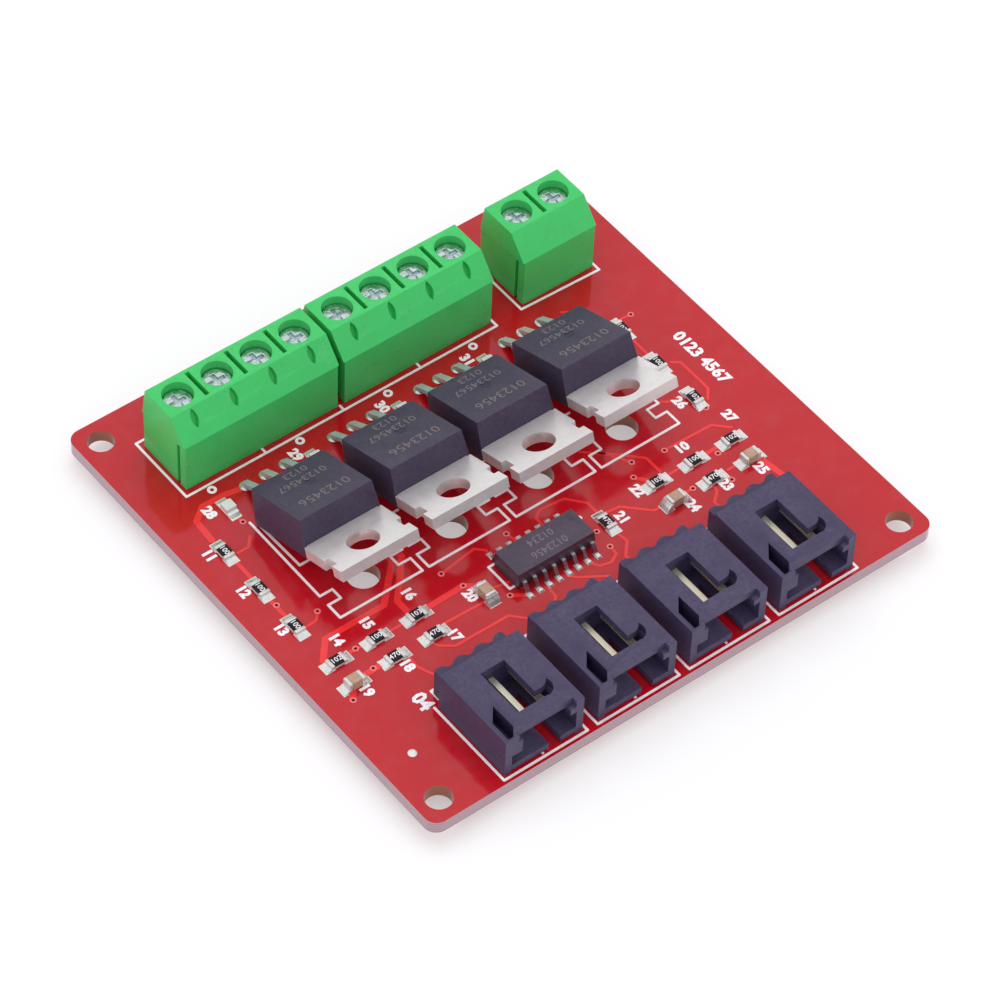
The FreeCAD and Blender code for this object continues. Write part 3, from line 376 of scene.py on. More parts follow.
@dataclass(frozen=True)
class Finish:
    """A surface: its colour and how that wanders, its gloss, grain, paler edges (handled metal, and a painted
    highlight on the green housings) and dust.
    """

    name: str
    slot: Slot
    colour: Colour
    roughness: float
    metallic: float = 0.0
    drift: float = 0.12
    patch: float = 2.5
    grain: float = 0.15
    grain_size: float = 0.12
    gloss_drift: float = 0.08
    edge: float = 0.2
    edge_colour: Colour = (0.8, 0.8, 0.8)
    dust: float = 0.03
    specular: float = 0.5
    transmission: float = 0.0

    def material(self) -> bpy.types.Material:
        """Find this finish's material, or make it the first time it is asked for.

        Returns:
            The material.
        """
        found = bpy.data.materials.get(self.name)
        if found:
            return found
        material = bpy.data.materials.new(self.name)
        bench = Bench.cleared(material)
        place = bench.add("ShaderNodeTexCoord").outputs["Object"]
        colour, roughness = self.paint(bench, place)
        grain = FINE_GRAIN.place(bench, Place=place, Scale=1 / (self.grain_size * MM))
        depth = self.grain_size * MM * GRAIN_DEPTH
        bump = bench.add(
            "ShaderNodeBump", {"Strength": self.grain, "Distance": depth, "Height": grain["Height"]})
        shader = bench.add("ShaderNodeBsdfPrincipled", {
            "Base Color": colour, "Roughness": roughness, "Metallic": self.metallic,
            "Normal": bump.outputs["Normal"], "Specular IOR Level": self.specular,
            "Transmission Weight": self.transmission})
        bench.add("ShaderNodeOutputMaterial", {"Surface": shader.outputs[0]})
        return material

    def paint(self, bench: Bench, place: Socket) -> Tuple[Socket, Socket]:
        """Lay down the colour and the roughness.

        Args:
            bench: The bench of the material's tree.
            place: Where on the piece, as a vector socket.

        Returns:
            The sockets of the colour and of the roughness.
        """
        base = self.base(bench, place)
        drift = TONE_DRIFT.place(
            bench, Place=place, Colour=base, Amount=self.drift, Scale=1 / (self.patch * MM))
        # Paler broken edges: handling on metal and a painted highlight on the green housings.
        wear_and_highlight = EDGE_WEAR_AND_HIGHLIGHT.place(bench, Place=place, Amount=self.edge)
        dust = SETTLED_DUST.place(bench, Place=place, Amount=self.dust)
        worn_and_highlit = bench.blend(wear_and_highlight["Mask"], drift["Colour"], opaque(self.edge_colour))
        dusty = bench.blend(dust["Mask"], worn_and_highlit, opaque(DUST_COLOUR))
        low = max(self.roughness - self.gloss_drift, LEAST_ROUGHNESS)
        gloss = bench.span(drift["Mask"], 0.0, 1.0, low, self.roughness + self.gloss_drift)
        return dusty, bench.math("ADD", gloss, dust["Mask"])

    def base(self, bench: Bench, place: Socket) -> object:
        """The colour before it wanders, which is the same all over."""
        return opaque(self.colour)


@dataclass(frozen=True)
class BoardFinish(Finish):
    """Glossy solder mask on both faces, with bare laminate at the sawn edges and in the holes."""

    laminate: Colour = tint(184, 152, 162)
    bore: Colour = tint(168, 98, 72)
    half_length: float = 33.0
    half_width: float = 31.9
    rim: float = 0.3
    corner_cut: float = 1.4
    ply_repeat: float = 1.2
    ply_shade: float = 0.62

    def base(self, bench: Bench, place: Socket) -> Socket:
        """Pick mask, laminate or bore colour from where the point lies and how it faces.

        Args:
            bench: The bench of the material's tree.
            place: Where on the piece, as a vector socket.

        Returns:
            The socket of the colour.
        """
        facing = bench.axes(bench.add("ShaderNodeNewGeometry").outputs["True Normal"])
        flat = bench.math("GREATER_THAN", bench.size(facing["Z"]), 0.5)
        spot = bench.axes(place)
        sides = [bench.math("GREATER_THAN", bench.size(spot[axis]), (half - self.rim) * MM)
                 for axis, half in (("X", self.half_length), ("Y", self.half_width))]
        level = bench.add("ShaderNodeVectorMath", {0: place, 1: (1.0, 1.0, 0.0)}, operation="MULTIPLY")
        reach = bench.add("ShaderNodeVectorMath", {0: level.outputs[0]}, operation="LENGTH")
        corner = math.hypot(self.half_length, self.half_width) - self.corner_cut
        tips = bench.math("GREATER_THAN", reach.outputs["Value"], corner * MM)
        outer = bench.math("MAXIMUM", bench.math("MAXIMUM", *sides), tips)
        plies = bench.add("ShaderNodeTexWave", {
            "Vector": place, "Scale": 1 / (self.ply_repeat * MM), "Distortion": 1.2, "Detail": 2.0,
            "Detail Scale": 3.0}, wave_type="BANDS", bands_direction="Z")
        darker = tuple(channel * self.ply_shade for channel in self.laminate)
        pale = bench.blend(plies.outputs["Fac"], opaque(self.laminate), opaque(darker))
        side = bench.blend(outer, opaque(self.bore), pale)
        return bench.blend(flat, side, opaque(self.colour))


@dataclass(frozen=True)
class LayeredFinish(Finish):
    """A body with a coloured band in the middle of its height, such as a fired ceramic block."""

    band: Colour = (0.8, 0.8, 0.8)
    band_low: float = 1.6
    band_high: float = 1.9

    def base(self, bench: Bench, place: Socket) -> Socket:
        """Show the band between its two heights and the body colour elsewhere.

        Args:
            bench: The bench of the material's tree.
            place: Where on the piece, as a vector socket.

        Returns:
            The socket of the colour.
        """
        height = bench.axes(place)["Z"]
        above = bench.math("GREATER_THAN", height, self.band_low * MM)
        below = bench.math("LESS_THAN", height, self.band_high * MM)
        return bench.blend(bench.math("MULTIPLY", above, below), opaque(self.colour), opaque(self.band))


MASK = BoardFinish("red_mask", Slot.BOARD, tint(184, 12, 28), 0.12, drift=0.04, patch=9.0, grain=0.04,
                   grain_size=1.4, gloss_drift=0.02, edge=0.0, dust=0.02)
TRACK = Finish("mask_over_copper", Slot.BOARD, tint(232, 42, 46), 0.2, drift=0.08, patch=4.0, grain=0.06,
               grain_size=0.6, edge=0.1, edge_colour=tint(240, 90, 86), dust=0.0)
VIA_RING = Finish("mask_over_ring", Slot.BOARD, tint(236, 104, 106), 0.26, drift=0.1, patch=0.5, edge=0.1,
                  dust=0.0)
# Dark disc over each via: the painted shade of its hole.
VIA_HOLE_SHADE = Finish("painted_via_shade", Slot.BOARD, tint(92, 6, 16), 0.7, dust=0.0, edge=0.0, specular=0.1)
PRINT = Finish("white_print", Slot.BOARD, tint(248, 242, 248), 0.6, drift=0.08, patch=0.6, grain=0.25,
               grain_size=0.08, edge=0.0, dust=0.03)
# The green housings' paler edge colour is a painted highlight along their edges.
GREEN = Finish("green_moulding", Slot.GREEN, tint(46, 188, 92), 0.34, drift=0.08, patch=3.0, grain=0.08,
               grain_size=0.5, gloss_drift=0.09, edge=0.2, edge_colour=tint(110, 222, 144), dust=0.0)
BLACK = Finish("black_moulding", Slot.BLACK, tint(56, 48, 80), 0.5, drift=0.08, patch=2.0, grain=0.15,
               grain_size=0.12, edge=0.2, edge_colour=tint(112, 104, 132), dust=0.02, specular=0.4)
MOULDING = Finish("transistor_compound", Slot.MOULDING, tint(54, 44, 68), 0.42, drift=0.1, patch=1.5,
                  grain=0.2, grain_size=0.1, gloss_drift=0.05, edge=0.2, edge_colour=tint(118, 110, 128),
                  dust=0.02, specular=0.32)
LASER = Finish("pale_laser_mark", Slot.MOULDING, tint(112, 102, 104), 0.6, drift=0.2, patch=0.5, edge=0.0,
               dust=0.0, specular=0.3)
ISOLATOR_MARK = Finish("pale_isolator_mark", Slot.ISOLATOR, tint(116, 108, 118), 0.6, drift=0.3, patch=0.5,
                       edge=0.0, dust=0.0, specular=0.3)
ISOLATOR = Finish("isolator_compound", Slot.ISOLATOR, tint(60, 46, 66), 0.36, drift=0.1, patch=1.5,
                  grain=0.2, grain_size=0.1, edge=0.2, edge_colour=tint(106, 96, 116), dust=0.02)
TAB = Finish("plated_tab", Slot.TAB, tint(220, 216, 216), 0.34, metallic=0.55, drift=0.12, patch=1.2,
             grain=0.12, grain_size=0.14, gloss_drift=0.05, edge=0.3, edge_colour=tint(240, 237, 240),
             dust=0.02)
TINNED = Finish("tinned_lead", Slot.TINNED, tint(206, 210, 212), 0.34, metallic=1.0, drift=0.2, patch=0.5,
                grain=0.25, grain_size=0.15, edge=0.3, dust=0.0)
LEAD = Finish("dull_tinned_lead", Slot.TINNED, tint(160, 184, 182), 0.42, metallic=0.3, drift=0.14,
              patch=0.8, grain=0.15, grain_size=0.15, edge=0.3, dust=0.0)
ZINC = Finish("zinc_screw", Slot.SCREW, tint(206, 218, 222), 0.26, metallic=1.0, drift=0.4, patch=0.6,
              grain=0.7, grain_size=0.4, gloss_drift=0.14, edge=0.3, edge_colour=tint(232, 238, 242),
              dust=0.0)
CLAMP = Finish("zinc_clamp", Slot.CLAMP, tint(176, 182, 186), 0.36, metallic=1.0, drift=0.2, patch=0.8,
               grain=0.25, grain_size=0.2, dust=0.0)
PIN = Finish("pale_brass", Slot.PIN, tint(232, 224, 198), 0.34, metallic=0.6, drift=0.12, patch=0.9,
             grain=0.15, grain_size=0.15, dust=0.0)
SOLDER = Finish("bright_solder", Slot.SOLDER, tint(222, 222, 222), 0.3, metallic=0.7, drift=0.22, patch=0.5,
                grain=0.3, grain_size=0.25, gloss_drift=0.12, edge=0.15, dust=0.0)
PAD = Finish("tinned_pad", Slot.SOLDER, tint(230, 230, 228), 0.36, metallic=0.6, drift=0.1, patch=0.6,
             grain=0.3, grain_size=0.2, dust=0.0)
RESISTOR = LayeredFinish("resistor_body", Slot.RESISTOR, tint(22, 19, 24), 0.5, drift=0.15, patch=0.5,
                         grain=0.1, grain_size=0.1, edge=0.0, dust=0.0, band=tint(214, 208, 204),
                         band_low=1.6, band_high=1.98, specular=0.25)
CAPACITOR = Finish("capacitor_body", Slot.CAPACITOR, tint(170, 132, 104), 0.42, drift=0.14, patch=0.6,
                   grain=0.2, grain_size=0.1, edge=0.2, dust=0.0)
CAP_METAL = Finish("fired_silver", Slot.SOLDER, tint(216, 214, 212), 0.36, metallic=0.5, drift=0.16,
                   patch=0.4, grain=0.3, grain_size=0.15, dust=0.0)
LAMP_BASE = Finish("lamp_laminate", Slot.LAMP_BASE, tint(242, 242, 238), 0.45, drift=0.08, dust=0.0)
LAMP_LENS = Finish("lamp_resin", Slot.LENS, tint(252, 253, 250), 0.16, drift=0.03, grain=0.02, edge=0.0,
                   dust=0.0, transmission=0.35)
LAMP_MARK = Finish("lamp_green_mark", Slot.LAMP_BASE, tint(36, 140, 84), 0.4, dust=0.0)
LAMP_CHIP = Finish("lamp_chip", Slot.LAMP_BASE, tint(216, 180, 84), 0.3, dust=0.0)

NODE_FINISH = {
    "circuit_board": MASK,
    "contact_pins": TINNED,
    "wire_clamp": CLAMP,
    "transistor_leads": LEAD,
    "header_pins": PIN,
    "isolator_leads": TINNED,
    "indicator_bases": LAMP_BASE,
    "indicator_lenses": LAMP_LENS,
}


# Workshop ----------------------------------------------------------------------------------


# Angles in degrees and lengths in millimetres.
CREASE_ANGLE = 38.0
FLAT_ANGLE = 0.6
SHARP_ANGLE = 28.0
MERGE_GAP = 0.002
POLE_GAP = 1e-5
WIDE_ROUNDING = 0.1
PRINT_THICKNESS = 0.045
DISC_TAPER = 0.96
STRIP_SIDES = 12
STRIP_STEP = 0.02
STRIP_LEVELS = 5


@dataclass(frozen=True)
class Lettering:
    """How a number is printed: height of the type, thickness of the print, fattening of the strokes."""

    size: float
    thickness: float
    weight: float = 0.0


def put_in_scene(name: str, data: bpy.types.ID) -> bpy.types.Object:
    """Make an object and put it in the scene.

    Args:
        name: Its name.
        data: Its mesh, text, lamp or camera.

    Returns:
        The object.
    """
    made = bpy.data.objects.new(name, data)
    bpy.context.scene.collection.objects.link(made)
    return made


def finish_piece(name: str, shape: Shape, finish: Finish, body: str = ROOT_BODY,
                 from_cad: bool = False) -> bpy.types.Object:
    """Turn a finished bmesh into a piece that rides on a body.

    Args:
        name: The piece's name.
        shape: Its mesh, in millimetres, or in metres if it comes from a CAD node.
        finish: Its finish.
        body: The body it rides on.
        from_cad: Whether it is a CAD node's mesh, whose faces already point outwards.

    Returns:
        The piece.
    """
    if not from_cad:
        bmesh.ops.recalc_face_normals(shape, faces=shape.faces[:])
        shape.transform(Matrix.Scale(MM, 4))
    for face in shape.faces:
        face.smooth = True
    mesh = bpy.data.meshes.new(name)
    shape.to_mesh(mesh)
    shape.free()
    mesh.set_sharp_from_angle(angle=math.radians(CREASE_ANGLE))
    mesh.materials.append(finish.material())
    piece = put_in_scene(name, mesh)
    weighted = piece.modifiers.new("even_shading", "WEIGHTED_NORMAL")
    weighted.keep_sharp = True
    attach(piece, body)
    LOG.info("%s: %d faces on %s", name, len(mesh.polygons), body)
    return piece


def round_edges(shape: Shape, edges: Sequence[bmesh.types.BMEdge], width: float, segments: int) -> None:
    """Round some edges of a mesh over.

    Args:
        shape: The mesh.
        edges: The edges.
        width: Width of the rounding, in the mesh's own units.
        segments: Steps in the rounding.
    """
    bmesh.ops.bevel(shape, geom=edges, offset=width, offset_type="OFFSET", segments=segments, profile=0.5,
                    affect="EDGES", clamp_overlap=True, material=-1)


def edges_at(verts: Iterable[bmesh.types.BMVert]) -> List[bmesh.types.BMEdge]:
    """Every edge that meets one of these corners."""
    return list({edge for vert in verts for edge in vert.link_edges})


def softened(frame: dict, node: str, name: str, finish: Finish, width: float, segments: int = 2) -> None:
    """Stand a copy of a CAD node, with its edges rounded over, in for the node.

    Args:
        node: The CAD node.
        name: The new piece's name.
        finish: Its finish.
        width: Width of the rounding.
        segments: Steps in the rounding.
    """
    source = frame["nodes"][node]
    shape = bmesh.new()
    shape.from_mesh(source.data)
    bmesh.ops.remove_doubles(shape, verts=shape.verts[:], dist=MERGE_GAP * MM)
    bmesh.ops.dissolve_limit(
        shape, angle_limit=math.radians(FLAT_ANGLE), verts=shape.verts[:], edges=shape.edges[:])
    sharp = [
        edge for edge in shape.edges
        if len(edge.link_faces) == 2 and edge.calc_face_angle(0.0) > math.radians(SHARP_ANGLE)
        and edge.calc_length() > width * MM / 2
    ]
    round_edges(shape, sharp, width * MM, segments)
    piece = finish_piece(name, shape, finish, source["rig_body"], from_cad=True)
    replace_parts(piece, node)


def add_strip(shape: Shape, start: Spot, end: Spot, width: float, base: float, height: float) -> None:
    """Add a flat strip with round ends.

    Args:
        shape: The mesh to add to.
        start: One end of its middle line.
        end: The other end.
        width: Its width.
        base: Level it lies on.
        height: Its thickness, negative to build downwards.
    """
    run = Vector((end[0] - start[0], end[1] - start[1], 0.0))
    heading = math.atan2(run.y, run.x)
    spin = Matrix.Rotation(math.pi / STRIP_SIDES, 4, "Z")
    made = bmesh.ops.create_circle(shape, cap_ends=True, segments=STRIP_SIDES, radius=width / 2, matrix=spin)
    far = [vert for vert in made["verts"] if vert.co.x > 0]
    bmesh.ops.translate(shape, verts=far, vec=(run.length, 0.0, 0.0))
    faces = list({face for vert in made["verts"] for face in vert.link_faces})
    raised = bmesh.ops.extrude_face_region(shape, geom=faces)
    top = [item for item in raised["geom"] if isinstance(item, bmesh.types.BMVert)]
    bmesh.ops.translate(shape, verts=top, vec=(0.0, 0.0, height))
    place = Matrix.Translation((start[0], start[1], base)) @ Matrix.Rotation(heading, 4, "Z")
    bmesh.ops.transform(shape, verts=made["verts"] + top, matrix=place)


def add_route(shape: Shape, route: Route, width: float, base: float, height: float) -> None:
    """Add a run of strips from point to point, of slightly different thickness so that none are flush.

    Args:
        shape: The mesh to add to.
        route: The points.
        width: Width of the strips.
        base: Level they lie on.
        height: Their thickness, negative to build downwards.
    """
    for index, (start, end) in enumerate(zip(route, route[1:])):
        add_strip(shape, start, end, width, base, height * (1 + STRIP_STEP * (index % STRIP_LEVELS)))


def add_disc(shape: Shape, spot: Spot, diameter: float, base: float, height: float, sides: int = 20) -> None:
    """Add a flat round disc.

    Args:
        shape: The mesh to add to.
        spot: Its middle.
        diameter: Its diameter at the foot.
        base: Level it lies on.
        height: Its thickness.
        sides: Sides of its rim.
    """
    bmesh.ops.create_cone(
        shape, cap_ends=True, segments=sides, radius1=diameter / 2, radius2=diameter / 2 * DISC_TAPER,
        depth=height, matrix=Matrix.Translation((*spot, base + height / 2)))


def add_turned(shape: Shape, spot: Spot, base: float, profile: Sequence[Spot], steps: int) -> None:
    """Add a form turned about an upright axis from a closed outline of radius and height.

    Args:
        shape: The mesh to add to.
        spot: Where the axis stands.
        base: Level that heights are counted from.
        profile: Radius and height of each corner of the outline, in order.
        steps: Steps in the full turn.
    """
    verts = [shape.verts.new((spot[0] + radius, spot[1], base + height)) for radius, height in profile]
    edges = [shape.edges.new((verts[k], verts[(k + 1) % len(verts)])) for k in range(len(verts))]
    made = bmesh.ops.spin(
        shape, geom=verts + edges, cent=(*spot, base), axis=(0.0, 0.0, 1.0), angle=math.tau, steps=steps,
        use_merge=True)
    turned = {vert for item in made["geom_last"] for vert in getattr(item, "verts", [])}
    reach = [vert for vert in shape.verts if vert in turned or vert in verts]
    bmesh.ops.remove_doubles(shape, verts=reach, dist=POLE_GAP)


def add_ring(shape: Shape, spot: Spot, outer: float, inner: float, base: float, height: float,
             steps: int) -> None:
    """Add a flat ring.

    Args:
        shape: The mesh to add to.
        spot: Its middle.
        outer: Outer diameter.
        inner: Inner diameter.
        base: Level it lies on.
        height: Its thickness, negative to build downwards.
        steps: Steps in the full turn.
    """
    section = [(inner / 2, 0.0), (outer / 2, 0.0), (outer / 2, height), (inner / 2, height)]
    add_turned(shape, spot, base, section, steps)


def add_bar(shape: Shape, section: Sequence[Spot], width: float, place: Matrix, edge: float) -> None:
    """Add a bar of constant section with rounded edges.

    Args:
        shape: The mesh to add to.
        section: X and Z of each corner of the section, in order.
        width: Length of the bar along its own Y, centred.
        place: Where it goes.
        edge: Width of the rounding.
    """
    verts = [shape.verts.new((x, -width / 2, z)) for x, z in section]
    face = bmesh.ops.contextual_create(shape, geom=verts)["faces"][0]
    drawn = bmesh.ops.extrude_face_region(shape, geom=[face])
    far = [item for item in drawn["geom"] if isinstance(item, bmesh.types.BMVert)]
    bmesh.ops.translate(shape, verts=far, vec=(0.0, width, 0.0))
    bmesh.ops.transform(shape, verts=verts + far, matrix=place)
    round_edges(shape, edges_at(verts + far), edge, 3 if edge > WIDE_ROUNDING else 1)


def add_block(shape: Shape, size: Sequence[float], middle: Sequence[float], edge: float) -> None:
    """Add a block with rounded edges.

    Args:
        shape: The mesh to add to.
        size: Its three sides.
        middle: Its middle.
        edge: Width of the rounding.
    """
    place = Matrix.Translation(middle) @ Matrix.Diagonal((*size, 1.0))
    made = bmesh.ops.create_cube(shape, size=1.0, matrix=place)
    round_edges(shape, edges_at(made["verts"]), edge, 2)


def about_z(degrees: float) -> Matrix:
    """A turn about Z."""
    return Matrix.Rotation(math.radians(degrees), 4, "Z")


def flat_place(x: float, y: float, level: float, heading: Heading) -> Matrix:
    """Where a number goes that lies flat and reads one way."""
    return Matrix.Translation((x, y, level)) @ about_z(heading.value)


def add_number(shape: Shape, text: str, place: Matrix, lettering: Lettering) -> None:
    """Add a plain printed number, centred on its place.

    Args:
        shape: The mesh to add to.
        text: The digits.
        place: Where it is printed, X along the digits and Z out of the surface.
        lettering: How it is printed.
    """
    curve = bpy.data.curves.new("number", "FONT")
    curve.body = text
    curve.size = lettering.size
    curve.align_x = "CENTER"
    curve.align_y = "CENTER"
    curve.offset = lettering.weight
    curve.extrude = lettering.thickness / 2
    curve.resolution_u = 2
    holder = put_in_scene("number", curve)
    bpy.context.view_layer.update()
    mesh = bpy.data.meshes.new_from_object(holder)
    mesh.transform(place @ Matrix.Translation((0.0, 0.0, lettering.thickness / 2)))
    shape.from_mesh(mesh)
    bpy.data.objects.remove(holder)
    bpy.data.curves.remove(curve)
    bpy.data.meshes.remove(mesh)


def middle_of(node: str, axis: int) -> float:
    """Middle of a CAD node's box along one axis, in millimetres."""
    low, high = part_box(node)
    return (low[axis] + high[axis]) / 2 / MM


@dataclass
class Layout:
    """Places on the board, in millimetres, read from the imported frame."""

    top: float = 0.0
    screws: List[float] = field(default_factory=list)
    leg_row: float = 0.0
    lead_row: float = 0.0
    pin_row: float = 0.0
    transistors: List[float] = field(default_factory=list)
    headers: List[float] = field(default_factory=list)
    pitch: float = 2.54
    leg_inset: float = 0.4
    lead_inset: float = 0.25
    pin_inset: float = 0.32

    @classmethod
    def read(cls) -> "Layout":
        """Measure the boxes of the CAD nodes and work out the rows and columns.

        Returns:
            The layout.
        """
        layout = cls()
        layout.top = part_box("circuit_board")[1].z / MM
        layout.screws = [middle_of("clamp_screw_%d" % number, 0) for number in range(1, SCREWS + 1)]
        channels = range(1, CHANNELS + 1)
        layout.transistors = [middle_of("transistor_tab_%d" % number, 0) for number in channels]
        layout.headers = [middle_of("header_housing_%d" % number, 0) for number in channels]
        layout.leg_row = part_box("contact_pins_left")[0].y / MM + layout.leg_inset
        layout.lead_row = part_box("transistor_leads_1")[1].y / MM - layout.lead_inset
        layout.pin_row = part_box("header_pins_1")[1].y / MM - layout.pin_inset
        return layout

    def threes(self, columns: Sequence[float], row: float) -> List[Spot]:
        """Three holes in a row about each column."""
        return [(x + self.pitch * step, row) for x in columns for step in (-1, 0, 1)]

    def lead_spots(self) -> List[Spot]:
        """Where the legs of the four transistors pass through the board."""
        return self.threes(self.transistors, self.lead_row)

    def pin_spots(self) -> List[Spot]:
        """Where the pins of the four headers pass through the board."""
        return self.threes(self.headers, self.pin_row)

    def leg_spots(self) -> List[Spot]:
        """Where the legs of the terminal blocks pass through the board."""
        return [(x, self.leg_row) for x in self.screws]


# Board surface -----------------------------------------------------------------------------


@dataclass
class BoardSurface:
    """Copper tracks under the mask, plated holes and white print on the board."""

    layout: Layout
    copper: float = 0.03
    middle_copper: float = 0.033
    wide_copper: float = 0.036
    rail_copper: float = 0.039
    under_ring: float = 0.045
    fine: float = 0.34
    middle: float = 0.5
    wide: float = 0.75
    under_width: float = 1.6
    rail_width: float = 2.2
    rail_row: float = -7.4
    via_outer: float = 0.72
    via_inner: float = 0.36
    via_ring: float = 0.054
    via_steps: int = 16
    hole_width: float = 0.3744
    hole_level: float = 0.048
    hole_sides: int = 12
    line: float = 0.29

    fine_routes: Tuple[Route, ...] = (
        ((-24.9, 12.6), (-24.9, 11.4)),
        ((-27.7, 8.2), (-26.4, 8.2), (-25.4, 9.3)),
        ((-27.9, -3.9), (-26.6, -3.8), (-25.8, -3.0)),
        ((-25.8, -9.2), (-24.4, -9.3)),
        ((-21.4, -9.4), (-19.1, -9.4)),
        ((-21.9, -13.2), (-22.0, -14.6), (-21.4, -16.2), (-20.8, -17.0)),
        ((-19.0, -13.1), (-18.5, -13.9), (-17.2, -14.9), (-10.4, -15.0), (-9.1, -16.4)),
        ((-16.3, -11.9), (-10.6, -12.1)),
        ((-9.2, -11.2), (-7.4, -11.5), (-7.0, -12.9)),
        ((-3.8, -6.2), (-3.6, -7.4)),
        ((-12.5, -6.5), (-7.8, -5.8), (-6.9, -6.7), (-6.9, -7.6)),
        ((0.0, -7.4), (0.0, -6.3), (1.0, -5.7), (4.0, -6.0), (5.6, -7.9), (5.6, -9.4)),
        ((6.4, -10.1), (8.0, -10.3), (10.5, -12.8), (12.1, -13.1)),
        ((5.5, -12.8), (5.7, -14.4), (4.3, -15.9), (4.3, -17.0)),
        ((3.8, -13.9), (3.7, -15.1), (2.6, -15.7), (1.3, -15.4), (0.7, -14.4)),
        ((-2.2, -14.5), (-1.4, -15.3), (-0.3, -16.0), (1.2, -17.0)),
        ((-4.8, -14.6), (-4.9, -15.8), (-6.0, -17.0)),
        ((14.5, -9.0), (14.5, -6.7), (10.9, -3.1)),
        ((12.9, -6.3), (11.3, -3.6), (9.4, -1.9)),
        ((15.0, -9.9), (16.8, -9.9)),
        ((15.0, -12.9), (15.8, -12.9)),
        ((19.9, -13.4), (19.9, -14.4)),
        ((17.8, -14.0), (17.6, -14.7), (16.4, -15.7), (16.4, -17.0)),
        ((20.4, -13.1), (22.1, -13.1)),
        ((16.7, -7.0), (23.0, -7.2), (24.5, -8.7)),
        ((26.1, 10.3), (25.0, 10.4)),
        ((24.0, 7.3), (24.0, 4.4)),
        ((25.3, 2.3), (26.1, 1.7), (26.1, -2.9), (25.1, -4.1)),
        ((20.7, -1.4), (21.9, -2.3), (23.1, -2.3)),
        ((11.7, -8.0), (12.6, -9.4)),
        ((22.9, 13.4), (20.3, 15.0)),
    )
    middle_routes: Tuple[Route, ...] = (
        ((-28.6, 7.8), (-28.6, 4.6)),
        ((-28.8, 1.7), (-28.8, -1.5)),
        ((-27.0, -9.2), (-25.5, -9.2)),
        ((20.1, -10.0), (21.9, -10.0)),
        ((11.7, -8.1), (13.0, -9.6)),
        ((-8.6, -13.0), (-7.3, -13.9)),
    )
    wide_routes: Tuple[Route, ...] = (
        ((-22.2, 15.1), (-24.4, 15.5), (-27.0, 15.5), (-28.7, 14.2), (-28.9, 11.2)),
        ((-29.2, -8.5), (-27.3, -6.3), (-19.8, -6.3), (-15.6, -2.1), (-15.6, 0.4)),
        ((-18.4, -8.3), (-18.4, -6.7), (-14.4, -2.2), (-14.4, 0.4)),
        ((-28.9, -13.1), (-29.8, -14.3)),
        ((-26.9, -12.4), (-24.3, -12.4)),
        ((-16.4, -9.2), (-11.7, -9.1), (-10.7, -9.9)),
        ((24.2, -14.0), (24.6, -17.0)),
    )
    vias: Tuple[Spot, ...] = (
        (-24.84, 11.32), (-28.67, 0.21), (-25.77, -2.92), (-29.77, -14.36), (-25.58, -9.16), (-25.68, -12.27),
        (-12.56, -6.49), (-11.7, -9.09), (-8.62, -12.97), (-3.84, -6.23), (3.78, -13.96), (3.92, -11.56),
        (12.89, -6.27), (11.73, -8.01), (16.73, -7.03), (15.77, -12.92), (21.03, -10.7), (19.87, -14.4),
        (24.12, -4.98), (26.18, 10.3),
    )
    labels: Tuple[Spot, ...] = (
        (-30.36, 9.67), (-30.37, 3.69), (-30.21, -2.67), (-26.49, -7.05), (-22.7, -7.08), (-16.93, -6.57),
        (-16.42, -13.71), (-22.7, -14.0), (-27.95, -14.15), (-11.97, -10.57), (7.24, -11.65), (10.84, -9.69),
        (18.9, -14.6), (14.25, -14.75), (23.35, -15.0), (22.3, -2.75), (25.37, -7.31),
        (-26.95, 14.4), (-15.0, 15.5), (-3.6, 15.5), (7.8, 15.5),
    )
    first_label: int = 11
    label_type: Lettering = Lettering(1.6, PRINT_THICKNESS, 0.085)
    lone_label: Spot = (18.46, -7.85)
    channel_type: Lettering = Lettering(2.2, PRINT_THICKNESS, 0.09)
    channel_shift: float = -5.85
    channel_row: float = -18.64
    edge_type: Lettering = Lettering(2.0, PRINT_THICKNESS, 0.08)
    edge_text: str = "0123 4567"
    edge_spot: Spot = (28.37, 0.95)

    block_lines: Tuple[Route, ...] = (
        ((-27.56, 26.7), (-27.56, 17.57), (13.48, 17.57), (13.48, 26.7), (-27.56, 26.7)),
        ((17.1, 26.6), (17.1, 17.9), (27.6, 17.55), (27.6, 26.6), (17.1, 26.6)),
    )
    isolator_bracket: Route = ((-7.29, -8.69), (-8.1, -8.7), (-8.1, -12.27), (-7.3, -12.27))
    tick_columns: Tuple[float, ...] = (-17.3, -7.07, 3.17)
    tick_ends: Spot = (17.6, 18.3)
    transistor_lines: Tuple[Route, ...] = (
        ((-5.2, 10.8), (-5.27, -1.47), (-3.67, -1.47), (-3.67, -2.92), (-5.27, -2.92), (-5.27, -4.98),
         (5.3, -4.98), (5.3, -2.92), (3.75, -2.92), (3.75, -1.47), (5.3, -1.47), (5.3, 10.8), (4.6, 10.8)),
        ((-4.6, 10.2), (-4.45, 3.1), (-3.2, 3.1)),
    )
    header_lines: Tuple[Route, ...] = (
        ((-5.32, -20.0), (-5.32, -31.42), (5.32, -31.42), (5.32, -20.0)),
        ((-3.1, -18.1), (-4.3, -18.1), (-4.3, -19.4)),
        ((-0.1, -31.0), (-0.1, -30.3), (0.5, -30.3)),
    )
    lamp_rings: Tuple[Spot, ...] = ((-24.86, 16.79), (-13.42, 16.83), (-1.89, 16.71), (9.56, 16.72))
    ring_outer: float = 1.05
    ring_inner: float = 0.45
    ring_steps: int = 24
    first_leg_dot: Spot = (3.64, -9.03)
    dot_width: float = 0.62
    target: Spot = (-29.03, -23.23)
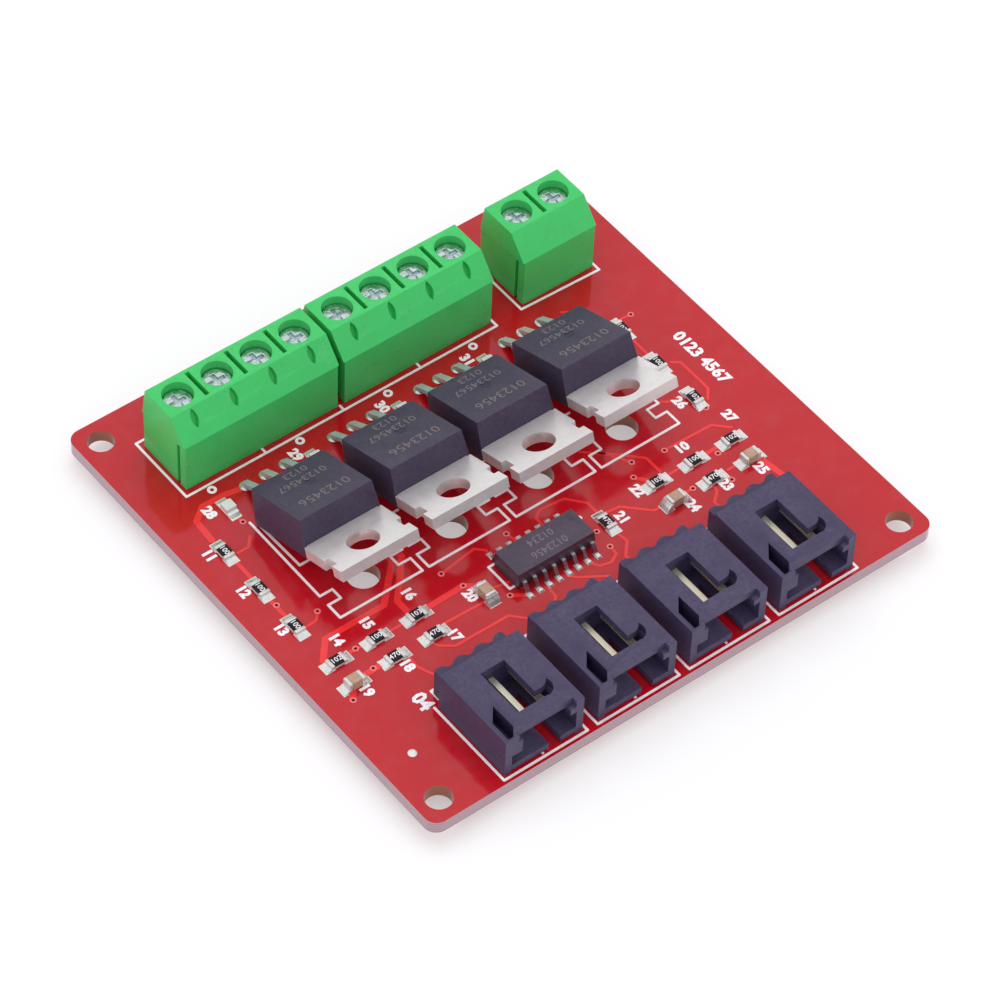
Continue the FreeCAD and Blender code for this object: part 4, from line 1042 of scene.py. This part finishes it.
    target_profile: Tuple[Spot, ...] = ((0.0, 0.0), (0.5, 0.0), (0.46, 0.03), (0.25, 0.05), (0.0, 0.055))
    target_steps: int = 20

    def build(self) -> None:
        """Make every layer of the board's surface."""
        self.build_tracks()
        self.build_vias()
        self.build_target()
        self.build_outlines()
        self.build_numbers()
        self.build_underside()

    def build_tracks(self) -> None:
        """Copper tracks, which show as raised, paler lines in the mask."""
        shape = bmesh.new()
        for routes, width, thickness in (
                (self.fine_routes, self.fine, self.copper),
                (self.middle_routes, self.middle, self.middle_copper),
                (self.wide_routes, self.wide, self.wide_copper)):
            for route in routes:
                add_route(shape, route, width, self.layout.top, thickness)
        finish_piece("tracks_top", shape, TRACK)

    def build_vias(self) -> None:
        """Small plated holes: a raised ring round a dark disc, which is painted shade standing in for the
        hole.
        """
        rings = bmesh.new()
        holes = bmesh.new()
        top = self.layout.top
        for spot in self.vias:
            add_ring(rings, spot, self.via_outer, self.via_inner, top, self.via_ring, self.via_steps)
            # A dark disc on the mask: painted shade of the via's hole.
            add_disc(holes, spot, self.hole_width, top, self.hole_level, self.hole_sides)
        finish_piece("via_rings", rings, VIA_RING)
        finish_piece("painted_via_shades", holes, VIA_HOLE_SHADE)

    def build_target(self) -> None:
        """The bare round mark that a placing machine looks for."""
        mark = bmesh.new()
        add_turned(mark, self.target, self.layout.top, self.target_profile, self.target_steps)
        finish_piece("target_dot", mark, PAD)

    def build_outlines(self) -> None:
        """White outlines round the parts, rings by the lamps and a dot by the isolator's first leg."""
        shape = bmesh.new()
        top = self.layout.top
        near, far = self.tick_ends
        lines = [*self.block_lines, self.isolator_bracket]
        lines += [((x, near), (x, far)) for x in self.tick_columns]
        for columns, drawn in ((self.layout.transistors, self.transistor_lines),
                               (self.layout.headers, self.header_lines)):
            lines += [[(x + u, v) for u, v in line] for x in columns for line in drawn]
        for line in lines:
            add_route(shape, line, self.line, top, PRINT_THICKNESS)
        for spot in self.lamp_rings:
            add_ring(shape, spot, self.ring_outer, self.ring_inner, top, PRINT_THICKNESS, self.ring_steps)
        add_disc(shape, self.first_leg_dot, self.dot_width, top, PRINT_THICKNESS)
        finish_piece("white_outlines", shape, PRINT)

    def build_numbers(self) -> None:
        """Plain numbers beside the parts, and one for each channel."""
        shape = bmesh.new()
        top = self.layout.top
        down = Heading.TOWARDS_HEADERS
        for number, (x, y) in enumerate(self.labels, start=self.first_label):
            add_number(shape, str(number), flat_place(x, y, top, down), self.label_type)
        place = flat_place(*self.lone_label, top, Heading.ALONG)
        add_number(shape, str(self.first_label - 1), place, self.label_type)
        for index, x in enumerate(self.layout.headers):
            place = flat_place(x + self.channel_shift, self.channel_row, top, down)
            add_number(shape, "0%d" % (CHANNELS - index), place, self.channel_type)
        add_number(shape, self.edge_text, flat_place(*self.edge_spot, top, down), self.edge_type)
        finish_piece("white_numbers", shape, PRINT)

    def channel_routes(self, x: float, screw: float, header: float) -> List[Tuple[Route, float]]:
        """Tracks under the board that serve one channel.

        Args:
            x: Where its transistor stands along X.
            screw: Where its load's terminal stands.
            header: Where its header stands.

        Returns:
            Each track's points and its width.
        """
        layout = self.layout
        row = layout.lead_row
        source = x + layout.pitch
        gate = x - layout.pitch
        return [
            (((x, row), (x, row + 2.2), (screw, layout.leg_row)), self.under_width),
            (((source, row), (x + 3.6, row - 2.5), (x + 3.6, self.rail_row)), self.under_width),
            (((gate, row), (gate, 2.0), (x - 4.2, 0.2), (x - 4.2, -5.0)), self.fine),
            (((header, layout.pin_row), (header, -14.6), (header + 1.4, -13.2)), self.wide),
        ]

    def build_underside(self) -> None:
        """Wide tracks under the board, from the headers and terminals to the transistors."""
        shape = bmesh.new()
        layout = self.layout
        screws, legs = layout.screws, layout.leg_row
        for x, screw, header in zip(layout.transistors, screws[::2], layout.headers):
            for route, width in self.channel_routes(x, screw, header):
                add_route(shape, route, width, 0.0, -self.copper)
        rear = legs + 2.6
        supply = ((screws[1], legs), (screws[1], rear), (screws[9], rear), (screws[9], legs))
        add_route(shape, supply, self.rail_width, 0.0, -self.copper)
        rail = ((-22.0, self.rail_row), (21.0, self.rail_row), (28.6, 0.0), (28.6, 16.0), (screws[8], 18.2),
                (screws[8], legs))
        add_route(shape, rail, self.rail_width, 0.0, -self.rail_copper)
        for spot in self.vias:
            add_ring(shape, spot, self.via_outer, self.via_inner, 0.0, -self.under_ring, self.via_steps)
        finish_piece("tracks_under", shape, TRACK)


@dataclass
class HoleSolder:
    """Pads and solder round every leg that passes through the board."""

    layout: Layout
    pad: float = 1.75
    pad_hole: float = 0.875
    pad_thickness: float = 0.035
    sink: float = 0.02
    steps: int = 16
    pad_steps: int = 20
    top_cone: Tuple[Spot, ...] = (
        (0.0, 0.0), (0.72, 0.0), (0.71, 0.05), (0.62, 0.12), (0.45, 0.17), (0.0, 0.19))
    under_cone: Tuple[Spot, ...] = (
        (0.0, 0.0), (0.84, 0.0), (0.8, -0.1), (0.6, -0.28), (0.48, -0.52), (0.42, -0.82), (0.3, -0.9),
        (0.0, -0.92))

    def build(self) -> None:
        """Make the pads and the solder on both faces."""
        legs = self.layout.leg_spots()
        others = self.layout.lead_spots() + self.layout.pin_spots()
        pads = bmesh.new()
        for spot in legs + others:
            add_ring(pads, spot, self.pad, self.pad_hole, 0.0, -self.pad_thickness, self.pad_steps)
        finish_piece("pads_under", pads, PAD)
        under = bmesh.new()
        for spot in legs + others:
            add_turned(under, spot, -self.sink, self.under_cone, self.steps)
        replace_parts(finish_piece("solder_under", under, SOLDER), "solder_joints")
        top = bmesh.new()
        for spot in others:
            add_turned(top, spot, self.layout.top, self.top_cone, self.steps)
        finish_piece("solder_top", top, SOLDER)


# Parts on the board ------------------------------------------------------------------------


@dataclass
class TerminalBlocks:
    """Green terminal housings and their screws."""

    frame: dict
    housing_edge: float = 0.09
    screw_edge: float = 0.06

    def build(self) -> None:
        """Round the edges of the housings and the screws."""
        for side in ("left", "right", "supply"):
            softened(self.frame, "terminal_block_%s" % side, "terminal_housing_%s" % side, GREEN,
                     self.housing_edge)
        for number in range(1, SCREWS + 1):
            softened(self.frame, "clamp_screw_%d" % number, "terminal_screw_%d" % number, ZINC,
                     self.screw_edge)


@dataclass
class Transistors:
    """Moulded bodies and cooling tabs of the power transistors, with rows of pale digits."""

    frame: dict
    layout: Layout
    body_edge: float = 0.1
    tab_edge: float = 0.07
    body_height: float = 4.45
    heel_row: float = 10.0
    digit_thickness: float = 0.008
    seats: Tuple[Tuple[float, float, float], ...] = (
        (18.9, 0.24, 0.0), (19.4, 0.60, -0.3), (18.1, 0.16, 0.0), (20.4, 0.43, 0.0))
    rows: Tuple[Tuple[str, float, float, float], ...] = (
        ("0123456", 1.8, 0.2, -6.6), ("01234567", 1.5, -0.1, -2.95), ("0123", 1.5, 0.1, -1.3))

    def top_place(self, number: int, u: float, v: float) -> Matrix:
        """Where a row of digits goes on a leaning body.

        Args:
            number: Which transistor, counted from 0.
            u: Place across the body, from its middle.
            v: Place along the body, from its rear edge.

        Returns:
            The place, reading with the leads below the digits.
        """
        lean, lift, shift = self.seats[number]
        x = self.layout.transistors[number]
        seat = Matrix.Translation((x, self.heel_row + shift, self.layout.top + lift))
        tip = Matrix.Rotation(math.radians(-lean), 4, "X")
        return seat @ tip @ flat_place(u, v, self.body_height, Heading.UPSIDE_DOWN)

    def build(self) -> None:
        """Round the edges of the bodies and tabs and mark the bodies."""
        digits = bmesh.new()
        for index in range(CHANNELS):
            number = index + 1
            softened(self.frame, "transistor_body_%d" % number, "transistor_moulding_%d" % number, MOULDING,
                     self.body_edge)
            softened(self.frame, "transistor_tab_%d" % number, "cooling_tab_%d" % number, TAB, self.tab_edge)
            for text, size, u, v in self.rows:
                add_number(digits, text, self.top_place(index, u, v), Lettering(size, self.digit_thickness))
        finish_piece("transistor_digits", digits, LASER)


@dataclass
class Headers:
    """Black locking headers."""

    frame: dict
    edge: float = 0.08

    def build(self) -> None:
        """Round the edges of the housings."""
        for number in range(1, CHANNELS + 1):
            softened(self.frame, "header_housing_%d" % number, "header_shroud_%d" % number, BLACK, self.edge)


@dataclass
class Isolator:
    """The sixteen-leg isolator with the solder at its feet."""

    frame: dict
    layout: Layout
    centre: Spot = (-2.5, -10.87)
    span: float = 7.25
    pitch: float = 1.27
    legs_a_side: int = 8
    edge: float = 0.07
    pad: Tuple[float, float, float] = (0.62, 0.95, 0.05)
    pad_inset: float = 0.36
    pad_lift: float = 0.02
    pad_edge: float = 0.015
    fillet: Tuple[Spot, ...] = ((-0.3, 0.02), (0.12, 0.02), (0.07, 0.09), (0.0, 0.2), (-0.3, 0.24))
    fillet_width: float = 0.496
    fillet_edge: float = 0.03
    digit_size: float = 1.3
    digit_thickness: float = 0.006
    rows: Tuple[Tuple[str, float], ...] = (("01234", 0.85), ("0123456", -0.75))

    def build(self) -> None:
        """Round the body, solder its feet and mark it."""
        softened(self.frame, "isolator_body", "isolator_case", ISOLATOR, self.edge)
        pads = bmesh.new()
        fillets = bmesh.new()
        level = self.layout.top + self.pad_lift
        for side in (-1, 1):
            for number in range(self.legs_a_side):
                x = self.centre[0] + self.pitch * (number - (self.legs_a_side - 1) / 2)
                y = self.centre[1] + side * self.span / 2
                add_block(pads, self.pad, (x, y - side * self.pad_inset, level), self.pad_edge)
                place = Matrix.Translation((x, y, level)) @ about_z(90 * side)
                add_bar(fillets, self.fillet, self.fillet_width, place, self.fillet_edge)
        digits = bmesh.new()
        case_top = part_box("isolator_body")[1].z / MM
        for text, shift in self.rows:
            place = flat_place(self.centre[0], self.centre[1] + shift, case_top, Heading.UPSIDE_DOWN)
            add_number(digits, text, place, Lettering(self.digit_size, self.digit_thickness))
        finish_piece("isolator_digits", digits, ISOLATOR_MARK)
        finish_piece("isolator_pads", pads, PAD)
        finish_piece("isolator_fillets", fillets, SOLDER)


@dataclass(frozen=True)
class Seat:
    """Where a chip part lies, and whether it stands along Y."""

    x: float
    y: float
    upright: bool


@dataclass
class ChipParts:
    """Small ceramic parts with their solder, and the printed values of the resistors."""

    frame: dict
    layout: Layout
    length: float = 2.0
    width: float = 1.25
    pad_reach: float = 0.72
    pad_width: float = 1.45
    pad_under: float = 0.5
    pad_thickness: float = 0.04
    pad_lift: float = 0.015
    pad_edge: float = 0.012
    resistor_top: float = 0.55
    left_column: float = -28.85
    right_column: float = 23.9
    column_pitch: float = 6.15
    row_pitch: float = 5.1
    resistor_climb: float = 0.26
    high_climb: float = 0.6
    plumpness: float = 0.28
    plump_rounding: float = 0.26
    thin_rounding: float = 0.05
    values: Lettering = Lettering(0.86, 0.012, 0.005)
    capacitors: Tuple[Tuple[Seat, float], ...] = (
        (Seat(-28.48, -12.83, False), 0.35), (Seat(-10.59, -11.43, True), 0.95),
        (Seat(13.08, -13.33, False), 0.95), (Seat(23.18, -13.39, False), 0.35),
    )
    ceramics: Tuple[Tuple[str, str, Finish, float, int], ...] = (
        ("resistor_bodies", "resistor_blocks", RESISTOR, 0.03, 1),
        ("resistor_caps", "resistor_ends", CAP_METAL, 0.05, 2),
        ("capacitor_bodies", "capacitor_blocks", CAPACITOR, 0.07, 2),
        ("capacitor_caps", "capacitor_ends", CAP_METAL, 0.09, 2),
    )

    def resistors(self) -> List[Tuple[Seat, str]]:
        """Work out where the resistors lie.

        Returns:
            The seat and the printed value of each.
        """
        lone = Seat(5.48, -11.3, True)
        last = Seat(13.1 + self.row_pitch, -13.25, False)
        return [
            *self.column(self.left_column, 9.0, ("100", "100", "100")),
            *self.column(self.right_column, 9.1, ("103", "100", "102")),
            (lone, "470"),
            *self.row(-28.25, -9.48, ("102", "100", "103")),
            *self.row(-23.15, -12.55, ("470", "470")),
            *self.row(13.1, -10.13, ("103", "100", "102")),
            (last, "470"),
        ]

    def column(self, x: float, y: float, values: Sequence[str]) -> List[Tuple[Seat, str]]:
        """Resistors that stand along Y, one in front of the other."""
        return [(Seat(x, y - self.column_pitch * k, True), value) for k, value in enumerate(values)]

    def row(self, x: float, y: float, values: Sequence[str]) -> List[Tuple[Seat, str]]:
        """Resistors that lie along X, one after the other."""
        return [(Seat(x + self.row_pitch * k, y, False), value) for k, value in enumerate(values)]

    def add_solder(self, pads: Shape, fillets: Shape, seat: Seat, climb: float) -> None:
        """Add the two pads and fillets of one chip part.

        Args:
            pads: Mesh of the pads.
            fillets: Mesh of the fillets.
            seat: Where the part lies.
            climb: How high the solder climbs its ends.
        """
        reach = self.pad_reach
        plump, rounding = 0.0, self.thin_rounding
        if climb > self.high_climb:
            plump, rounding = self.plumpness, self.plump_rounding
        section = (
            (-0.12, 0.02), (reach, 0.02), (reach - 0.04, 0.05), (reach * 0.6, climb * (0.22 + plump)),
            (reach * 0.3, climb * (0.48 + plump)), (0.06, climb * 0.98), (-0.12, climb),
        )
        size = (reach + self.pad_under, self.pad_width, self.pad_thickness)
        if seat.upright:
            size = (size[1], size[0], size[2])
        for side in (0, 180):
            turn = about_z(side + (90 if seat.upright else 0))
            place = Matrix.Translation((seat.x, seat.y, self.layout.top)) @ turn
            end = place @ Matrix.Translation((self.length / 2, 0.0, 0.0))
            add_bar(fillets, section, self.width * (1.0 + plump * 0.5), end, rounding)
            middle = place @ Vector((self.length / 2 + reach / 2 - 0.18, 0.0, self.pad_lift))
            add_block(pads, size, middle, self.pad_edge)

    def build(self) -> None:
        """Round the ceramic parts, solder them and print the values."""
        for node, name, finish, edge, segments in self.ceramics:
            softened(self.frame, node, name, finish, edge, segments)
        pads = bmesh.new()
        fillets = bmesh.new()
        for seat, _ in self.resistors():
            self.add_solder(pads, fillets, seat, self.resistor_climb)
        for seat, climb in self.capacitors:
            self.add_solder(pads, fillets, seat, climb)
        finish_piece("chip_pads", pads, PAD)
        finish_piece("chip_fillets", fillets, SOLDER)
        values = bmesh.new()
        for seat, value in self.resistors():
            heading = Heading.TOWARDS_HEADERS if seat.upright else Heading.ALONG
            place = flat_place(seat.x, seat.y, self.layout.top + self.resistor_top, heading)
            add_number(values, value, place, self.values)
        finish_piece("resistor_values", values, PRINT)


@dataclass
class Indicators:
    """Chip lamps: end pads, a green polarity mark and the chip under the lens."""

    layout: Layout
    column: float = -25.03
    row: float = 13.6
    pitch: float = 11.45
    pad: Tuple[float, float, float] = (1.3, 0.8, 0.05)
    pad_reach: float = 1.2
    pad_lift: float = 0.02
    pad_edge: float = 0.015
    fillet: Tuple[Spot, ...] = ((-0.1, 0.02), (0.4, 0.02), (0.2, 0.09), (0.05, 0.22), (-0.1, 0.3))
    fillet_width: float = 1.1
    fillet_edge: float = 0.03
    mark: Tuple[float, float, float] = (1.0, 0.22, 0.03)
    mark_shift: Spot = (0.82, 0.31)
    mark_edge: float = 0.01
    chip: Tuple[float, float, float] = (0.3, 0.3, 0.14)
    chip_shift: Spot = (-0.1, 0.38)
    chip_edge: float = 0.02

    def build(self) -> None:
        """Make the pads, the marks and the chips of the lamps."""
        pads = bmesh.new()
        fillets = bmesh.new()
        marks = bmesh.new()
        chips = bmesh.new()
        top = self.layout.top
        for number in range(CHANNELS):
            x = self.column + self.pitch * number
            for side in (-1, 1):
                middle = (x, self.row + side * self.pad_reach, top + self.pad_lift)
                add_block(pads, self.pad, middle, self.pad_edge)
                place = Matrix.Translation((x, self.row + side, top)) @ about_z(90 * side)
                add_bar(fillets, self.fillet, self.fillet_width, place, self.fillet_edge)
            for shape, size, (along, lift), edge in (
                    (marks, self.mark, self.mark_shift, self.mark_edge),
                    (chips, self.chip, self.chip_shift, self.chip_edge)):
                add_block(shape, size, (x, self.row + along, top + lift), edge)
        finish_piece("lamp_pads", pads, PAD)
        finish_piece("lamp_fillets", fillets, SOLDER)
        finish_piece("lamp_marks", marks, LAMP_MARK)
        finish_piece("lamp_chips", chips, LAMP_CHIP)


def dress_nodes(frame: dict) -> None:
    """Give every CAD node that stays in view its finish.
    """
    for name, node in frame["nodes"].items():
        kind = next((key for key in NODE_FINISH if name.startswith(key)), None)
        if kind is None:
            continue
        material = NODE_FINISH[kind].material()
        if not node.material_slots:
            node.data.materials.append(material)
        for holder in node.material_slots:
            holder.material = material
        LOG.info("%s wears %s", name, material.name)


# Studio ------------------------------------------------------------------------------------


@dataclass(frozen=True)
class Lamp:
    """A soft square lamp: where it hangs, its side in metres and its power in watts."""

    name: str
    place: Tuple[float, float, float]
    side: float
    power: float


@dataclass
class Studio:
    """Pale floor, soft lamps and the camera: places in metres, turns in degrees, lens in millimetres."""

    floor_level: float = -0.0015
    floor_reach: float = 2.0
    floor_colour: Colour = (0.93, 0.92, 0.95)
    floor_glow: float = 0.42
    white: Colour = (1.0, 1.0, 1.0)
    sky_light: float = 0.93
    lamps: Tuple[Lamp, ...] = (
        Lamp("key_lamp", (0.12, 0.22, 0.62), 0.5, 1.2), Lamp("front_lamp", (-0.12, -0.62, 0.26), 0.4, 0.35))
    camera_place: Tuple[float, float, float] = (-0.21237, -0.25242, 0.38158)
    camera_turn: Tuple[float, float, float] = (40.7034, -1.8460, -37.9741)
    lens: float = 172.84
    sensor_width: float = 36.0
    nearest: float = 0.01

    def build(self) -> None:
        """Make the floor, the lamps, the surroundings and the camera."""
        self.build_floor()
        for lamp in self.lamps:
            self.hang(lamp)
        self.build_surroundings()
        self.build_camera()

    def floor_material(self) -> bpy.types.Material:
        """White to the eye, with the shadows kept, and clear from below.

        Returns:
            The material.
        """
        material = bpy.data.materials.new("floor_white")
        bench = Bench.cleared(material)
        share = bench.math("MULTIPLY", bench.seen(), self.floor_glow)
        lit = bench.add("ShaderNodeBsdfDiffuse", {"Color": opaque(self.floor_colour)})
        glow = bench.add("ShaderNodeEmission", {"Color": opaque(self.white), "Strength": 1.0})
        above = bench.add("ShaderNodeMixShader", {0: share, 1: lit.outputs[0], 2: glow.outputs[0]})
        below = bench.add("ShaderNodeNewGeometry").outputs["Backfacing"]
        clear = bench.add("ShaderNodeBsdfTransparent")
        both = bench.add("ShaderNodeMixShader", {0: below, 1: above.outputs[0], 2: clear.outputs[0]})
        bench.add("ShaderNodeOutputMaterial", {"Surface": both.outputs[0]})
        return material

    def build_floor(self) -> None:
        """A plain floor at the level of the solder tails."""
        shape = bmesh.new()
        bmesh.ops.create_grid(shape, x_segments=1, y_segments=1, size=self.floor_reach,
                              matrix=Matrix.Translation((0.0, 0.0, self.floor_level)))
        mesh = bpy.data.meshes.new("floor")
        shape.to_mesh(mesh)
        shape.free()
        mesh.materials.append(self.floor_material())
        put_in_scene("floor", mesh)

    def hang(self, lamp: Lamp) -> None:
        """Hang a lamp that looks at the board.

        Args:
            lamp: The lamp.
        """
        data = bpy.data.lights.new(lamp.name, "AREA")
        data.shape = "SQUARE"
        data.size = lamp.side
        data.energy = lamp.power
        hung = put_in_scene(lamp.name, data)
        hung.visible_glossy = False
        hung.location = lamp.place
        hung.rotation_euler = (-Vector(lamp.place)).to_track_quat("-Z", "Y").to_euler()

    def build_surroundings(self) -> None:
        """White to the eye and in reflections, and a plain soft light on the object."""
        world = bpy.data.worlds.new("surroundings")
        bench = Bench.cleared(world)
        strength = bench.span(bench.seen(), 0.0, 1.0, self.sky_light, 1.0)
        glow = bench.add("ShaderNodeBackground", {"Color": opaque(self.white), "Strength": strength})
        bench.add("ShaderNodeOutputWorld", {"Surface": glow.outputs[0]})
        bpy.context.scene.world = world

    def build_camera(self) -> None:
        """Set the camera above the left front corner of the board."""
        data = bpy.data.cameras.new("camera")
        data.lens = self.lens
        data.sensor_width = self.sensor_width
        data.clip_start = self.nearest
        camera = put_in_scene("camera", data)
        camera.location = self.camera_place
        camera.rotation_euler = tuple(math.radians(angle) for angle in self.camera_turn)
        bpy.context.scene.camera = camera


def main() -> None:
    """Load the frame, build every sub-assembly and set the view transform."""
    logging.basicConfig(level=logging.INFO, format="%(message)s")
    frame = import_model()
    layout = Layout.read()
    Studio().build()
    dress_nodes(frame)
    BoardSurface(layout).build()
    HoleSolder(layout).build()
    TerminalBlocks(frame).build()
    Transistors(frame, layout).build()
    Headers(frame).build()
    Isolator(frame, layout).build()
    ChipParts(frame, layout).build()
    Indicators(layout).build()
    scene = bpy.context.scene
    scene.view_settings.view_transform = "Standard"


if __name__ == "__main__":
    main()
